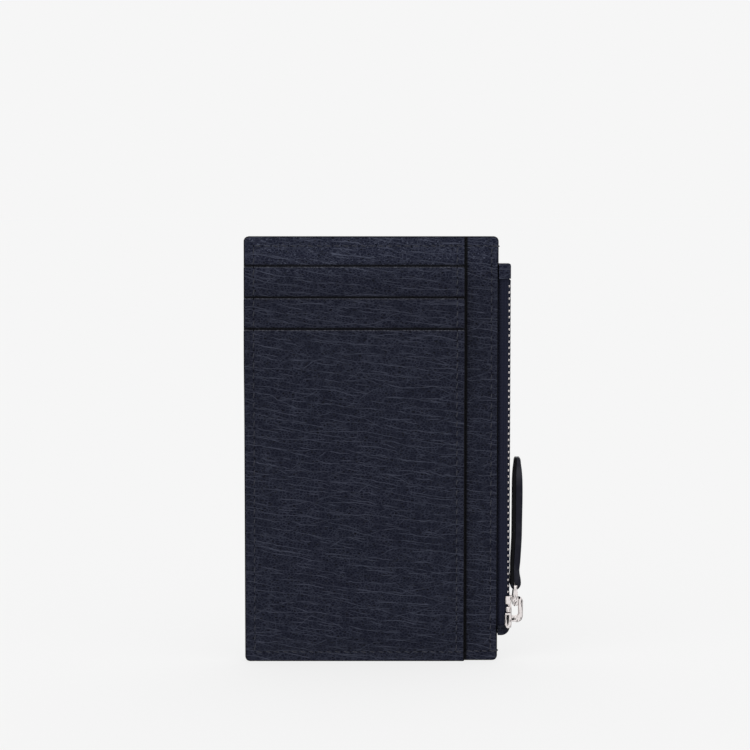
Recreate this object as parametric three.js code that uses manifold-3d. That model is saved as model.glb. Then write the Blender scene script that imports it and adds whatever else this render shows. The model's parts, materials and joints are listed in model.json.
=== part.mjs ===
// Slim upright card holder in leather, with a zipped side pocket.
//
// Frame, in millimetres: X to the right across the front, Z up, and the front faces -Y.
// The origin is the middle of the front panel's bottom edge, which the case stands on.
// The case is a stack of thin layers in Y. From the front to the back they are the three card
// pockets, the card backing, the note pocket, the front panel, the zip pocket and the back panel.
// The zip runs up the right side, closed, with its slider at the bottom.

import * as THREE from 'three';
import Module from 'manifold-3d';
import { mergeVertices } from 'three/addons/utils/BufferGeometryUtils.js';

const wasm = await Module();
wasm.setup();

// ---- Driving dimensions ----

// Outline of the case
const BODY_W = 77;
const BODY_H = 129.6;
const CORNER_R = 1.5;

// Leather, lining and the gaps between layers
const SHELL_T = 1.1;
const BACKING_T = 0.7;
const POCKET_T = 0.65;
const LINING_T = 0.2;
const TONGUE_T = 0.12;
const NOTE_GAP = 0.35;
const CARD_GAP = 0.12;
const GLUE_GAP = 0.03;
const LINING_CLEAR = 0.4;

// Card section
const CARD_SECTION_W = 66.9;
const LOWER_LIP_Z = 101.5;
const LIP_STEP = 9.5;
const POCKET_OVERLAP = 10.5;
const POCKET_DEPTH = 98;
const SEAM_INSET = 3;

// Zip pocket: clear thickness, and the dished back panel that makes it
const ZIP_POCKET_CLEAR = 3.6;
const SEAM_FLANGE_W = 3.8;
const DISH_END_INSET = 4.4;
const DISH_RISE_W = 4.5;
const DISH_ROUND_H = 3.5;
const DISH_CORNER_R = 6;

// Zip chain
const CHAIN_OFFSET = 2.95;
const CHAIN_BOTTOM_Z = 13.1;
const TOOTH_PITCH = 1.87;
const TEETH_PER_ROW = 55;
const TOOTH_T = 1.6;
const TOOTH_LEG_IN = 0.75;
const TOOTH_LEG_OUT = 1.9;
const TOOTH_LEG_H = 1.1;
const TOOTH_HEAD_REACH = 0.45;
const TOOTH_HEAD_H = 0.6;
const TOOTH_HEAD_TAPER = 0.2;
const TOOTH_LEG_FLARE = 0.15;
const FRONT_TOOTH_SHIFT = 0.25;
const BACK_TOOTH_SHIFT = 0.75;
const BEAD_IN = 1.0;
const BEAD_OUT = 2.0;
const BEAD_T = 1.4;
const TAPE_T = 0.3;
const TAPE_TUCK = 7.5;
const TAPE_BULGE = 3.1;
const TAPE_BOTTOM_Z = 10.1;
const TAPE_TOP_Z = 120.3;
const STOP_H = 1.2;
const STOP_GAP = 0.3;
const STAPLE_T = 0.5;
const STAPLE_H = 1.8;
const STAPLE_RISE = 0.6;

// Leather pieces at the two ends of the zip
const END_LEATHER_T = 0.45;
const END_LEATHER_GAP = 0.1;
const END_LEATHER_START = 0.15;
const TAB_CORNER = 0.8;
const TAB_BOTTOM_Z = 116.8;
const TAB_TOP_Z = 121.3;
const FOLD_BOTTOM_Z = 7.9;
const FOLD_CHEEK_TOP_Z = 11;
const FOLD_R = 2.6;

// Slider
const SLIDER_BOTTOM_Z = 10;
const SLIDER_L = 10;
const SLIDER_PLATE_T = 0.55;
const SLIDER_CHAIN_GAP = 0.1;
const SLIDER_REAR_HALF = 2.6;
const SLIDER_MOUTH_HALF = 2.95;
const SLIDER_INNER_HALF = 2.48;
const SLIDER_SLOT = 0.9;
const SLIDER_CHANNEL_HALF = 2.12;
const SLIDER_CHAMFER = 0.9;
const SLIDER_NECK_Z = 5.5;
const SLIDER_SHOULDER_Z = 3;
const POST_HALF_W = 0.45;
const POST_L = 2.2;
const POST_RISE = 0.3;
const POST_WIDEST = 1;

// Bridge on the slider, connector ring and strap
const BRIDGE_REACH = 3.6;
const BRIDGE_H = 8.1;
const BRIDGE_RISE = 1.3;
const BRIDGE_T = 1.6;
const BRIDGE_TOP_ARM = 0.9;
const BRIDGE_BOTTOM_ARM = 2.1;
const BRIDGE_LIMB = 1.45;
const WIRE = 0.95;
const THICK_BAR_R = 0.9;
const WIRE_PLAY = 0.15;
const RING_L = 5.25;
const RING_TAPER_END = 1.5;
const RING_SIDE_GAP = 0.25;
const RING_SIDE_W = 0.85;
const RING_CORNER = 0.3;
const EYE_HALF_W = 1.7;
const EYE_HALF_H = 2.2;
const EYE_BELOW = 1.15;
const EYE_HOLE_R = 0.78;
const EYE_CLEAR = 0.2;
const STRAP_W = 4.6;
const STRAP_L = 40.7;

// ---- Places worked out from the dimensions ----

const LEFT_X = -BODY_W / 2;
const RIGHT_X = BODY_W / 2;
const CARD_RIGHT_X = LEFT_X + CARD_SECTION_W;

// Layers towards the front; each value is a layer's front face
const FRONT_FACE_Y = -SHELL_T / 2;
const NOTE_LINING_Y = FRONT_FACE_Y - NOTE_GAP - LINING_T;
const BACKING_Y = NOTE_LINING_Y - GLUE_GAP - BACKING_T;
const UPPER_Y = BACKING_Y - CARD_GAP - POCKET_T;
const MIDDLE_Y = UPPER_Y - CARD_GAP - POCKET_T;
const LOWER_Y = MIDDLE_Y - CARD_GAP - POCKET_T;

// Zip pocket: half distances are measured from the zip's own mid-plane
const FRONT_BACK_Y = SHELL_T / 2;
const POCKET_HALF = ZIP_POCKET_CLEAR / 2;
const SHELL_HALF_IN = POCKET_HALF + LINING_T;
const ZIP_Y = FRONT_BACK_Y + SHELL_HALF_IN;
const CHAIN_X = RIGHT_X + CHAIN_OFFSET;
const CHAIN_TOP_Z = CHAIN_BOTTOM_Z + TEETH_PER_ROW * TOOTH_PITCH;
const LINING_RIGHT_X = RIGHT_X - TAPE_TUCK - 0.5;

// Slider plates in X
const OUTER_PLATE_IN_X = CHAIN_X + TOOTH_T / 2 + SLIDER_CHAIN_GAP;
const OUTER_PLATE_OUT_X = OUTER_PLATE_IN_X + SLIDER_PLATE_T;
const INNER_PLATE_OUT_X = CHAIN_X - TOOTH_T / 2 - SLIDER_CHAIN_GAP;
const INNER_PLATE_IN_X = INNER_PLATE_OUT_X - SLIDER_PLATE_T;
const SLIDER_TOP_Z = SLIDER_BOTTOM_Z + SLIDER_L;

// Bridge window, and the two axes that the pull swings on
const BRIDGE_BOTTOM_Z = SLIDER_BOTTOM_Z + BRIDGE_RISE;
const BRIDGE_TOP_Z = BRIDGE_BOTTOM_Z + BRIDGE_H;
const BRIDGE_OUT_X = OUTER_PLATE_OUT_X + BRIDGE_REACH;
const WINDOW_TOP_Z = BRIDGE_TOP_Z - BRIDGE_TOP_ARM;
const WINDOW_BOTTOM_Z = BRIDGE_BOTTOM_Z + BRIDGE_BOTTOM_ARM;
const WINDOW_OUT_X = BRIDGE_OUT_X - BRIDGE_LIMB;
const PULL_X = (OUTER_PLATE_OUT_X + WINDOW_OUT_X) / 2 + 0.1;
const RING_PIVOT_Z = WINDOW_TOP_Z - WIRE_PLAY - THICK_BAR_R;
const STRAP_PIVOT_Z = RING_PIVOT_Z + RING_L;
const STRAP_TIP_Z = STRAP_PIVOT_Z - EYE_BELOW + STRAP_L;

// Leather at the ends of the zip: it wraps the tapes in Y and the chain in X
const END_X = RIGHT_X + END_LEATHER_START;
const TAPE_HALF_OUT = TAPE_BULGE + TAPE_T / 2 + END_LEATHER_GAP;
const TAB_IN_X = CHAIN_X + STAPLE_T / 2 + END_LEATHER_GAP;
const TAB_OUT_X = TAB_IN_X + END_LEATHER_T;

// ---- Materials ----

const leather = new THREE.MeshStandardMaterial({ color: 0x24263a, roughness: 0.55 });
const stripLeather = new THREE.MeshStandardMaterial({ color: 0x2c2e3e, roughness: 0.55 });
const smoothLeather = new THREE.MeshStandardMaterial({ color: 0x202027, roughness: 0.45 });
const lining = new THREE.MeshStandardMaterial({ color: 0x1c1e2c, roughness: 0.9 });
const tape = new THREE.MeshStandardMaterial({ color: 0x1f212e, roughness: 0.85 });
const nickel = new THREE.MeshStandardMaterial({ color: 0xd8d6d6, roughness: 0.25, metalness: 1 });

// ---- Helpers ----

const X_AXIS = new THREE.Vector3(1, 0, 0);
const Y_AXIS = new THREE.Vector3(0, 1, 0);
const Z_AXIS = new THREE.Vector3(0, 0, 1);

// A closed solid for joining and cutting, from a three.js geometry
function solid(geometry) {
  const bare = geometry.clone();
  bare.deleteAttribute('normal');
  bare.deleteAttribute('uv');
  const merged = mergeVertices(bare, 1e-5);
  return new wasm.Manifold(new wasm.Mesh({
    numProp: 3,
    vertProperties: new Float32Array(merged.attributes.position.array),
    triVerts: new Uint32Array(merged.index.array),
  }));
}

// A three.js geometry from a solid
function geometryOf(body) {
  const mesh = body.getMesh();
  const geometry = new THREE.BufferGeometry();
  geometry.setAttribute('position', new THREE.BufferAttribute(mesh.vertProperties, 3));
  geometry.setIndex(new THREE.BufferAttribute(mesh.triVerts, 1));
  geometry.computeVertexNormals();
  return geometry;
}

function box(low, high) {
  const size = high.map((value, i) => value - low[i]);
  const middle = high.map((value, i) => (value + low[i]) / 2);
  return new THREE.BoxGeometry(...size).translate(...middle);
}

// Outline in X and Z, given thickness from yFront to yBack
function upright(shape, yFront, yBack, curveSegments = 4) {
  const geometry = new THREE.ExtrudeGeometry(shape, {
    depth: yBack - yFront,
    bevelEnabled: false,
    curveSegments,
  });
  return geometry.rotateX(Math.PI / 2).translate(0, yBack, 0);
}

// Outline in Y and Z, given thickness from x0 to x1
function sideways(shape, x0, x1, curveSegments = 4) {
  const geometry = new THREE.ExtrudeGeometry(shape, {
    depth: x1 - x0,
    bevelEnabled: false,
    curveSegments,
  });
  const turn = new THREE.Matrix4().makeBasis(Y_AXIS, Z_AXIS, X_AXIS);
  return geometry.applyMatrix4(turn).translate(x0, 0, 0);
}

// Outline in X and Y, carried up from z0 to z1
function alongZip(shape, z0, z1, curveSegments = 4) {
  const geometry = new THREE.ExtrudeGeometry(shape, {
    depth: z1 - z0,
    bevelEnabled: false,
    curveSegments,
  });
  return geometry.translate(0, 0, z0);
}

function polygon(points) {
  return new THREE.Shape(points.map(([a, b]) => new THREE.Vector2(a, b)));
}

// Rectangle with its own radius at each corner, from the bottom left, anticlockwise
function roundedRectangle(x0, z0, x1, z1, radii) {
  const [bottomLeft, bottomRight, topRight, topLeft] = radii;
  const shape = new THREE.Shape();
  shape.moveTo(x0 + bottomLeft, z0);
  shape.lineTo(x1 - bottomRight, z0);
  if (bottomRight > 0) shape.absarc(x1 - bottomRight, z0 + bottomRight, bottomRight, -Math.PI / 2, 0);
  shape.lineTo(x1, z1 - topRight);
  if (topRight > 0) shape.absarc(x1 - topRight, z1 - topRight, topRight, 0, Math.PI / 2);
  shape.lineTo(x0 + topLeft, z1);
  if (topLeft > 0) shape.absarc(x0 + topLeft, z1 - topLeft, topLeft, Math.PI / 2, Math.PI);
  if (bottomLeft > 0) shape.lineTo(x0, z0 + bottomLeft);
  if (bottomLeft > 0) shape.absarc(x0 + bottomLeft, z0 + bottomLeft, bottomLeft, Math.PI, Math.PI * 1.5);
  return shape;
}

// Closed outline of a strip of even thickness that follows a smooth curve through points
function ribbon(points, thickness, steps) {
  const curve = new THREE.SplineCurve(points.map(([a, b]) => new THREE.Vector2(a, b)));
  const sides = [[], []];
  for (let i = 0; i <= steps; i += 1) {
    const centre = curve.getPoint(i / steps);
    const along = curve.getTangent(i / steps);
    const across = new THREE.Vector2(-along.y, along.x).multiplyScalar(thickness / 2);
    sides[0].push(centre.clone().add(across));
    sides[1].unshift(centre.clone().sub(across));
  }
  return new THREE.Shape([...sides[0], ...sides[1]]);
}

function part(name, geometry, material) {
  const mesh = new THREE.Mesh(geometry, material);
  mesh.name = name;
  return mesh;
}

// ---- Card section ----

function cardSection() {
  const group = new THREE.Group();
  const square = [CORNER_R, 0, 0, CORNER_R];
  const lipUpper = LOWER_LIP_Z + 2 * LIP_STEP;
  const lipMiddle = LOWER_LIP_Z + LIP_STEP;

  const backing = roundedRectangle(LEFT_X, 0, CARD_RIGHT_X, BODY_H, square);
  group.add(part('card_backing', upright(backing, BACKING_Y, BACKING_Y + BACKING_T), leather));

  const noteLining = roundedRectangle(
    LEFT_X + SEAM_INSET, SEAM_INSET, CARD_RIGHT_X - 1, BODY_H - SEAM_INSET, [0, 0, 0, 0]);
  group.add(part('note_pocket_lining', upright(noteLining, NOTE_LINING_Y, NOTE_LINING_Y + LINING_T), lining));

  // The two upper pockets are strips of leather, each on a fabric tongue that reaches down inside
  const strips = [
    { name: 'upper', lip: lipUpper, y: UPPER_Y },
    { name: 'middle', lip: lipMiddle, y: MIDDLE_Y },
  ];
  for (const { name, lip, y } of strips) {
    const stripBottom = lip - LIP_STEP - POCKET_OVERLAP;
    const strip = roundedRectangle(LEFT_X, stripBottom, CARD_RIGHT_X, lip, [0, 0, 0, 0]);
    group.add(part(`pocket_panel_${name}`, upright(strip, y, y + POCKET_T), stripLeather));
    const tongue = roundedRectangle(
      LEFT_X + SEAM_INSET, lip - POCKET_DEPTH, CARD_RIGHT_X - SEAM_INSET, stripBottom - GLUE_GAP, [0, 0, 0, 0]);
    const tongueY = y + (POCKET_T - TONGUE_T) / 2;
    group.add(part(`pocket_tongue_${name}`, upright(tongue, tongueY, tongueY + TONGUE_T), lining));
  }

  const lower = roundedRectangle(LEFT_X, 0, CARD_RIGHT_X, LOWER_LIP_Z, [CORNER_R, 0, 0, 0]);
  group.add(part('pocket_panel_lower', upright(lower, LOWER_Y, LOWER_Y + POCKET_T), leather));

  const liningTop = lipMiddle - LIP_STEP - POCKET_OVERLAP - 1;
  const lowerLining = roundedRectangle(
    LEFT_X + SEAM_INSET, SEAM_INSET, CARD_RIGHT_X - SEAM_INSET, liningTop, [0, 0, 0, 0]);
  const liningY = LOWER_Y + POCKET_T + GLUE_GAP;
  group.add(part('pocket_lining_lower', upright(lowerLining, liningY, liningY + TONGUE_T), lining));
  return group;
}

// ---- Zip pocket shells and linings ----

// A pillow whose front half is cut away: outline inset from the case, with a rounded rise
function dish(inset, endInset, height) {
  const past = 20;
  const cornerR = DISH_CORNER_R;
  const outline = roundedRectangle(
    LEFT_X + inset, endInset, RIGHT_X + past, BODY_H - endInset, [cornerR, cornerR, cornerR, cornerR]);
  const shellInset = inset - SEAM_FLANGE_W;
  const riseW = DISH_RISE_W - shellInset;
  const roundH = DISH_ROUND_H - shellInset;
  const straight = height - roundH;
  const geometry = new THREE.ExtrudeGeometry(outline, {
    depth: 2 * straight,
    bevelThickness: roundH,
    bevelSize: riseW,
    bevelOffset: -riseW,
    bevelSegments: 5,
    curveSegments: 3,
  });
  geometry.rotateX(Math.PI / 2).translate(0, straight, 0);
  return geometry;
}

function zipPocket() {
  const group = new THREE.Group();
  const rounded = [CORNER_R, CORNER_R, CORNER_R, CORNER_R];
  const panel = roundedRectangle(LEFT_X, 0, RIGHT_X, BODY_H, rounded);
  group.add(part('front_panel', upright(panel, FRONT_FACE_Y, FRONT_BACK_Y), leather));

  const liningEnd = DISH_END_INSET + SHELL_T + LINING_CLEAR;
  const frontLining = roundedRectangle(
    LEFT_X + SEAM_FLANGE_W + SHELL_T + LINING_CLEAR, liningEnd,
    LINING_RIGHT_X, BODY_H - liningEnd, [DISH_CORNER_R, 0, 0, DISH_CORNER_R]);
  group.add(part('zip_pocket_lining_front',
    upright(frontLining, FRONT_BACK_Y + GLUE_GAP, FRONT_BACK_Y + LINING_T), lining));

  // Back panel: a flat seam flange, and a dished middle that is open on the zip side
  const flangeY = FRONT_BACK_Y + GLUE_GAP;
  const outerHeight = ZIP_Y + SHELL_HALF_IN + SHELL_T - flangeY;
  const flange = solid(upright(panel, flangeY, flangeY + SHELL_T));
  const outer = solid(dish(SEAM_FLANGE_W, DISH_END_INSET, outerHeight).translate(0, flangeY, 0));
  const inner = solid(dish(
    SEAM_FLANGE_W + SHELL_T, DISH_END_INSET + SHELL_T, outerHeight - SHELL_T).translate(0, flangeY, 0));
  const keep = solid(box([LEFT_X, flangeY, 0], [RIGHT_X, flangeY + 2 * outerHeight, BODY_H]));
  const back = flange.add(outer).subtract(inner).intersect(keep);
  group.add(part('back_panel', geometryOf(back), leather));

  const flat = DISH_END_INSET + DISH_RISE_W + LINING_CLEAR;
  const backLining = roundedRectangle(
    LEFT_X + SEAM_FLANGE_W + DISH_RISE_W + LINING_CLEAR, flat,
    LINING_RIGHT_X, BODY_H - flat, [DISH_CORNER_R, 0, 0, DISH_CORNER_R]);
  group.add(part('zip_pocket_lining_back',
    upright(backLining, ZIP_Y + POCKET_HALF, ZIP_Y + SHELL_HALF_IN - GLUE_GAP), lining));
  return group;
}

// ---- Zip: tapes, teeth, stops and end pieces. side is -1 for the front half and 1 for the back ----

function zipTape(side) {
  const tucked = SHELL_HALF_IN - GLUE_GAP - TAPE_T / 2;
  const route = [
    [RIGHT_X - TAPE_TUCK, tucked],
    [RIGHT_X - TAPE_TUCK / 2, tucked],
    [RIGHT_X - 1.2, tucked],
    [RIGHT_X + 0.2, tucked],
    [RIGHT_X + 0.7, tucked + 0.6],
    [INNER_PLATE_IN_X, TAPE_BULGE - 0.1],
    [INNER_PLATE_OUT_X + 0.4, TAPE_BULGE],
    [CHAIN_X - 0.15, SLIDER_INNER_HALF + 0.45],
    [CHAIN_X, SLIDER_INNER_HALF],
    [CHAIN_X, BEAD_OUT + 0.05],
  ].map(([x, half]) => [x, ZIP_Y + side * half]);
  return alongZip(ribbon(route, TAPE_T, 24), TAPE_BOTTOM_Z, TAPE_TOP_Z);
}

// One tooth: a leg block clamped on the tape's bead, and a head that reaches past the middle
function tooth(side, z) {
  const outline = [
    [-TOOTH_HEAD_REACH, TOOTH_HEAD_H / 2 - TOOTH_HEAD_TAPER / 2],
    [-TOOTH_HEAD_REACH + TOOTH_HEAD_TAPER, TOOTH_HEAD_H / 2],
    [TOOTH_LEG_IN, TOOTH_HEAD_H / 2],
    [TOOTH_LEG_IN + TOOTH_LEG_FLARE, TOOTH_LEG_H / 2],
    [TOOTH_LEG_OUT, TOOTH_LEG_H / 2],
  ];
  const mirrored = outline.map(([half, up]) => [half, -up]).reverse();
  const points = [...outline, ...mirrored].map(([half, up]) => [ZIP_Y + side * half, z + up]);
  return solid(sideways(polygon(points), CHAIN_X - TOOTH_T / 2, CHAIN_X + TOOTH_T / 2));
}

// Upright bar along one row's bead, centred on the chain in X
function besideChain(side, thickness, z0, z1) {
  const inner = ZIP_Y + side * BEAD_IN;
  const outer = ZIP_Y + side * BEAD_OUT;
  return box(
    [CHAIN_X - thickness / 2, Math.min(inner, outer), z0],
    [CHAIN_X + thickness / 2, Math.max(inner, outer), z1]);
}

function zipTeeth(side) {
  const shift = side < 0 ? FRONT_TOOTH_SHIFT : BACK_TOOTH_SHIFT;
  const pieces = [solid(besideChain(side, BEAD_T, CHAIN_BOTTOM_Z, CHAIN_TOP_Z))];
  for (let i = 0; i < TEETH_PER_ROW; i += 1) {
    pieces.push(tooth(side, CHAIN_BOTTOM_Z + (i + shift) * TOOTH_PITCH));
  }
  return geometryOf(wasm.Manifold.union(pieces));
}

function zipStop(side) {
  const top = CHAIN_BOTTOM_Z - STOP_GAP;
  return besideChain(side, TOOTH_T, top - STOP_H, top);
}

// Arch over the chain, in X and Y, that the leather tab follows
function archOutline(halfIn, halfOut, xIn, xOut) {
  return polygon([
    [END_X, ZIP_Y - halfOut],
    [xOut - TAB_CORNER, ZIP_Y - halfOut],
    [xOut, ZIP_Y - halfOut + TAB_CORNER],
    [xOut, ZIP_Y + halfOut - TAB_CORNER],
    [xOut - TAB_CORNER, ZIP_Y + halfOut],
    [END_X, ZIP_Y + halfOut],
    [END_X, ZIP_Y + halfIn],
    [xIn - TAB_CORNER / 2, ZIP_Y + halfIn],
    [xIn, ZIP_Y + halfIn - TAB_CORNER],
    [xIn, ZIP_Y - halfIn + TAB_CORNER],
    [xIn - TAB_CORNER / 2, ZIP_Y - halfIn],
    [END_X, ZIP_Y - halfIn],
  ]);
}

function zipEndTab() {
  const halfOut = TAPE_HALF_OUT + END_LEATHER_T;
  const capZ = TAB_TOP_Z - END_LEATHER_T;
  const arch = solid(alongZip(
    archOutline(TAPE_HALF_OUT, halfOut, TAB_IN_X, TAB_OUT_X), TAB_BOTTOM_Z, TAB_TOP_Z));
  const capHalf = TAPE_HALF_OUT + END_LEATHER_T / 4;
  const cap = solid(box(
    [END_X, ZIP_Y - capHalf, capZ],
    [TAB_IN_X + END_LEATHER_T / 4, ZIP_Y + capHalf, TAB_TOP_Z]));
  return geometryOf(arch.add(cap));
}

// Folded leather end below the slider: a rounded block, with a cheek over each tape
function zipEndFold() {
  const halfOut = TAPE_HALF_OUT + END_LEATHER_T;
  const blockTop = SLIDER_BOTTOM_Z - STOP_GAP;
  const shape = new THREE.Shape();
  shape.moveTo(END_X, FOLD_BOTTOM_Z);
  shape.lineTo(TAB_OUT_X - FOLD_R, FOLD_BOTTOM_Z);
  shape.absarc(TAB_OUT_X - FOLD_R, FOLD_BOTTOM_Z + FOLD_R, FOLD_R, -Math.PI / 2, 0);
  shape.lineTo(TAB_OUT_X, FOLD_CHEEK_TOP_Z);
  shape.lineTo(END_X, FOLD_CHEEK_TOP_Z);
  const block = solid(upright(shape, ZIP_Y - halfOut, ZIP_Y + halfOut, 6));
  const between = solid(box(
    [LEFT_X, ZIP_Y - TAPE_HALF_OUT, blockTop], [2 * TAB_OUT_X, ZIP_Y + TAPE_HALF_OUT, BODY_H]));
  return geometryOf(block.subtract(between));
}

function zip() {
  const group = new THREE.Group();
  for (const [name, side] of [['front', -1], ['back', 1]]) {
    group.add(part(`zip_tape_${name}`, zipTape(side), tape));
    group.add(part(`zip_teeth_${name}`, zipTeeth(side), nickel));
    group.add(part(`zip_stop_${name}`, zipStop(side), nickel));
  }
  const stapleBottom = TAB_BOTTOM_Z + STAPLE_RISE;
  group.add(part('zip_end_staple', box(
    [CHAIN_X - STAPLE_T / 2, ZIP_Y - TOOTH_LEG_OUT, stapleBottom],
    [CHAIN_X + STAPLE_T / 2, ZIP_Y + TOOTH_LEG_OUT, stapleBottom + STAPLE_H]), nickel));
  group.add(part('zip_end_tab', zipEndTab(), smoothLeather));
  group.add(part('zip_end_fold', zipEndFold(), smoothLeather));
  return group;
}

// ---- Slider: two plates with turned-in flanges, held together by a post at the mouth ----

// Plate outline in Y and Z, with the mouth at the bottom
function sliderOutline(rearHalf, mouthHalf) {
  const half = [
    [rearHalf - SLIDER_CHAMFER / 2, SLIDER_TOP_Z],
    [rearHalf, SLIDER_TOP_Z - SLIDER_CHAMFER / 2],
    [rearHalf, SLIDER_BOTTOM_Z + SLIDER_NECK_Z],
    [mouthHalf, SLIDER_BOTTOM_Z + SLIDER_SHOULDER_Z],
    [mouthHalf, SLIDER_BOTTOM_Z + SLIDER_CHAMFER],
    [mouthHalf - SLIDER_CHAMFER, SLIDER_BOTTOM_Z],
  ];
  const left = half.map(([h, z]) => [ZIP_Y - h, z]);
  const right = half.map(([h, z]) => [ZIP_Y + h, z]).reverse();
  return polygon([...left, ...right]);
}

function sliderBody() {
  const outerOutline = sliderOutline(SLIDER_REAR_HALF, SLIDER_MOUTH_HALF);
  const innerOutline = sliderOutline(SLIDER_INNER_HALF, SLIDER_INNER_HALF);
  const outer = solid(sideways(outerOutline, CHAIN_X + SLIDER_SLOT / 2, OUTER_PLATE_OUT_X));
  const inner = solid(sideways(innerOutline, INNER_PLATE_IN_X, CHAIN_X - SLIDER_SLOT / 2));
  const channel = solid(box(
    [INNER_PLATE_OUT_X, ZIP_Y - SLIDER_CHANNEL_HALF, SLIDER_BOTTOM_Z - 1],
    [OUTER_PLATE_IN_X, ZIP_Y + SLIDER_CHANNEL_HALF, SLIDER_TOP_Z + 1]));
  const postZ = SLIDER_BOTTOM_Z + POST_RISE;
  const sunk = SLIDER_PLATE_T / 4;
  const post = solid(sideways(polygon([
    [ZIP_Y, postZ],
    [ZIP_Y + POST_HALF_W, postZ + POST_WIDEST],
    [ZIP_Y, postZ + POST_L],
    [ZIP_Y - POST_HALF_W, postZ + POST_WIDEST],
  ]), INNER_PLATE_OUT_X - sunk, OUTER_PLATE_IN_X + sunk));
  return geometryOf(outer.add(inner).subtract(channel).add(post));
}

// The bridge is a D whose straight side is the slider's outer plate
function sliderBridge() {
  const x0 = OUTER_PLATE_OUT_X + GLUE_GAP;
  const shape = new THREE.Shape();
  shape.moveTo(x0, BRIDGE_BOTTOM_Z + 0.3);
  shape.lineTo(BRIDGE_OUT_X - 1.6, BRIDGE_BOTTOM_Z);
  shape.quadraticCurveTo(BRIDGE_OUT_X, BRIDGE_BOTTOM_Z + 0.4, BRIDGE_OUT_X, BRIDGE_BOTTOM_Z + 2.2);
  shape.lineTo(BRIDGE_OUT_X, BRIDGE_TOP_Z - 1.3);
  shape.lineTo(BRIDGE_OUT_X - 0.5, BRIDGE_TOP_Z - 0.3);
  shape.lineTo(x0, BRIDGE_TOP_Z);
  shape.lineTo(x0, WINDOW_TOP_Z);
  shape.lineTo(WINDOW_OUT_X - 0.1, WINDOW_TOP_Z);
  shape.lineTo(WINDOW_OUT_X, WINDOW_BOTTOM_Z + 0.8);
  shape.quadraticCurveTo(WINDOW_OUT_X, WINDOW_BOTTOM_Z + 0.1, WINDOW_OUT_X - 0.7, WINDOW_BOTTOM_Z);
  shape.lineTo(x0, WINDOW_BOTTOM_Z);
  return upright(shape, ZIP_Y - BRIDGE_T / 2, ZIP_Y + BRIDGE_T / 2, 5);
}

// Side view of the connector, in X and Z: round at the thick bar, narrowing to the thin one
function connectorProfile() {
  const shape = new THREE.Shape();
  shape.absarc(PULL_X, RING_PIVOT_Z, THICK_BAR_R, Math.PI, 2 * Math.PI);
  shape.lineTo(PULL_X + THICK_BAR_R, RING_PIVOT_Z + RING_TAPER_END);
  shape.lineTo(PULL_X + WIRE / 2, STRAP_PIVOT_Z - WIRE / 2);
  shape.lineTo(PULL_X + WIRE / 2, STRAP_PIVOT_Z + WIRE / 2);
  shape.lineTo(PULL_X - WIRE / 2, STRAP_PIVOT_Z + WIRE / 2);
  shape.lineTo(PULL_X - WIRE / 2, STRAP_PIVOT_Z - WIRE / 2);
  shape.lineTo(PULL_X - THICK_BAR_R, RING_PIVOT_Z + RING_TAPER_END);
  return shape;
}

// Ring in the Y-Z plane: a short thick bar through the bridge, a wide thin bar through the strap's eye
function pullConnector() {
  const wideIn = STRAP_W / 2 + RING_SIDE_GAP;
  const wideOut = wideIn + RING_SIDE_W;
  const narrowIn = BRIDGE_T / 2 + RING_SIDE_GAP;
  const shoulderZ = STRAP_PIVOT_Z - Math.hypot(EYE_HALF_W, EYE_HALF_H - EYE_BELOW) - EYE_CLEAR;
  const outer = [
    [narrowIn + RING_SIDE_W, RING_PIVOT_Z - THICK_BAR_R],
    [wideOut, shoulderZ - RING_CORNER],
    [wideOut, STRAP_PIVOT_Z + WIRE / 2 - RING_CORNER],
    [wideOut - RING_CORNER, STRAP_PIVOT_Z + WIRE / 2],
  ];
  const inner = [
    [narrowIn, RING_PIVOT_Z],
    [wideIn, shoulderZ],
    [wideIn, STRAP_PIVOT_Z - WIRE / 2],
  ];
  const closed = (half) => [
    ...half.map(([h, z]) => [ZIP_Y + h, z]),
    ...half.map(([h, z]) => [ZIP_Y - h, z]).reverse(),
  ];
  const shape = polygon(closed(outer));
  shape.holes.push(new THREE.Path(closed(inner).map(([y, z]) => new THREE.Vector2(y, z))));
  const flat = solid(sideways(shape, PULL_X - THICK_BAR_R, PULL_X + THICK_BAR_R));
  const tapered = solid(upright(connectorProfile(), ZIP_Y - wideOut, ZIP_Y + wideOut, 8));
  const round = new THREE.Shape();
  round.absarc(PULL_X, RING_PIVOT_Z, THICK_BAR_R, 0, Math.PI * 2);
  const bar = solid(upright(round, ZIP_Y - narrowIn - WIRE_PLAY, ZIP_Y + narrowIn + WIRE_PLAY, 8));
  return geometryOf(flat.intersect(tapered).add(bar));
}

// Side view of the blade. Each station is [share of the strap's length above its lower end,
// offset of the centre in X, thickness].
const STRAP_STATIONS = [
  [0.06, 0, 3.2],
  [0.145, -0.14, 2.75],
  [0.22, 0, 3.0],
  [0.39, 0.36, 3.05],
  [0.54, 0.44, 3.1],
  [0.69, 0.5, 3.17],
  [0.82, 0.5, 3.1],
  [0.93, 0.5, 2.35],
  [0.98, 0.52, 1.6],
];

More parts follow.
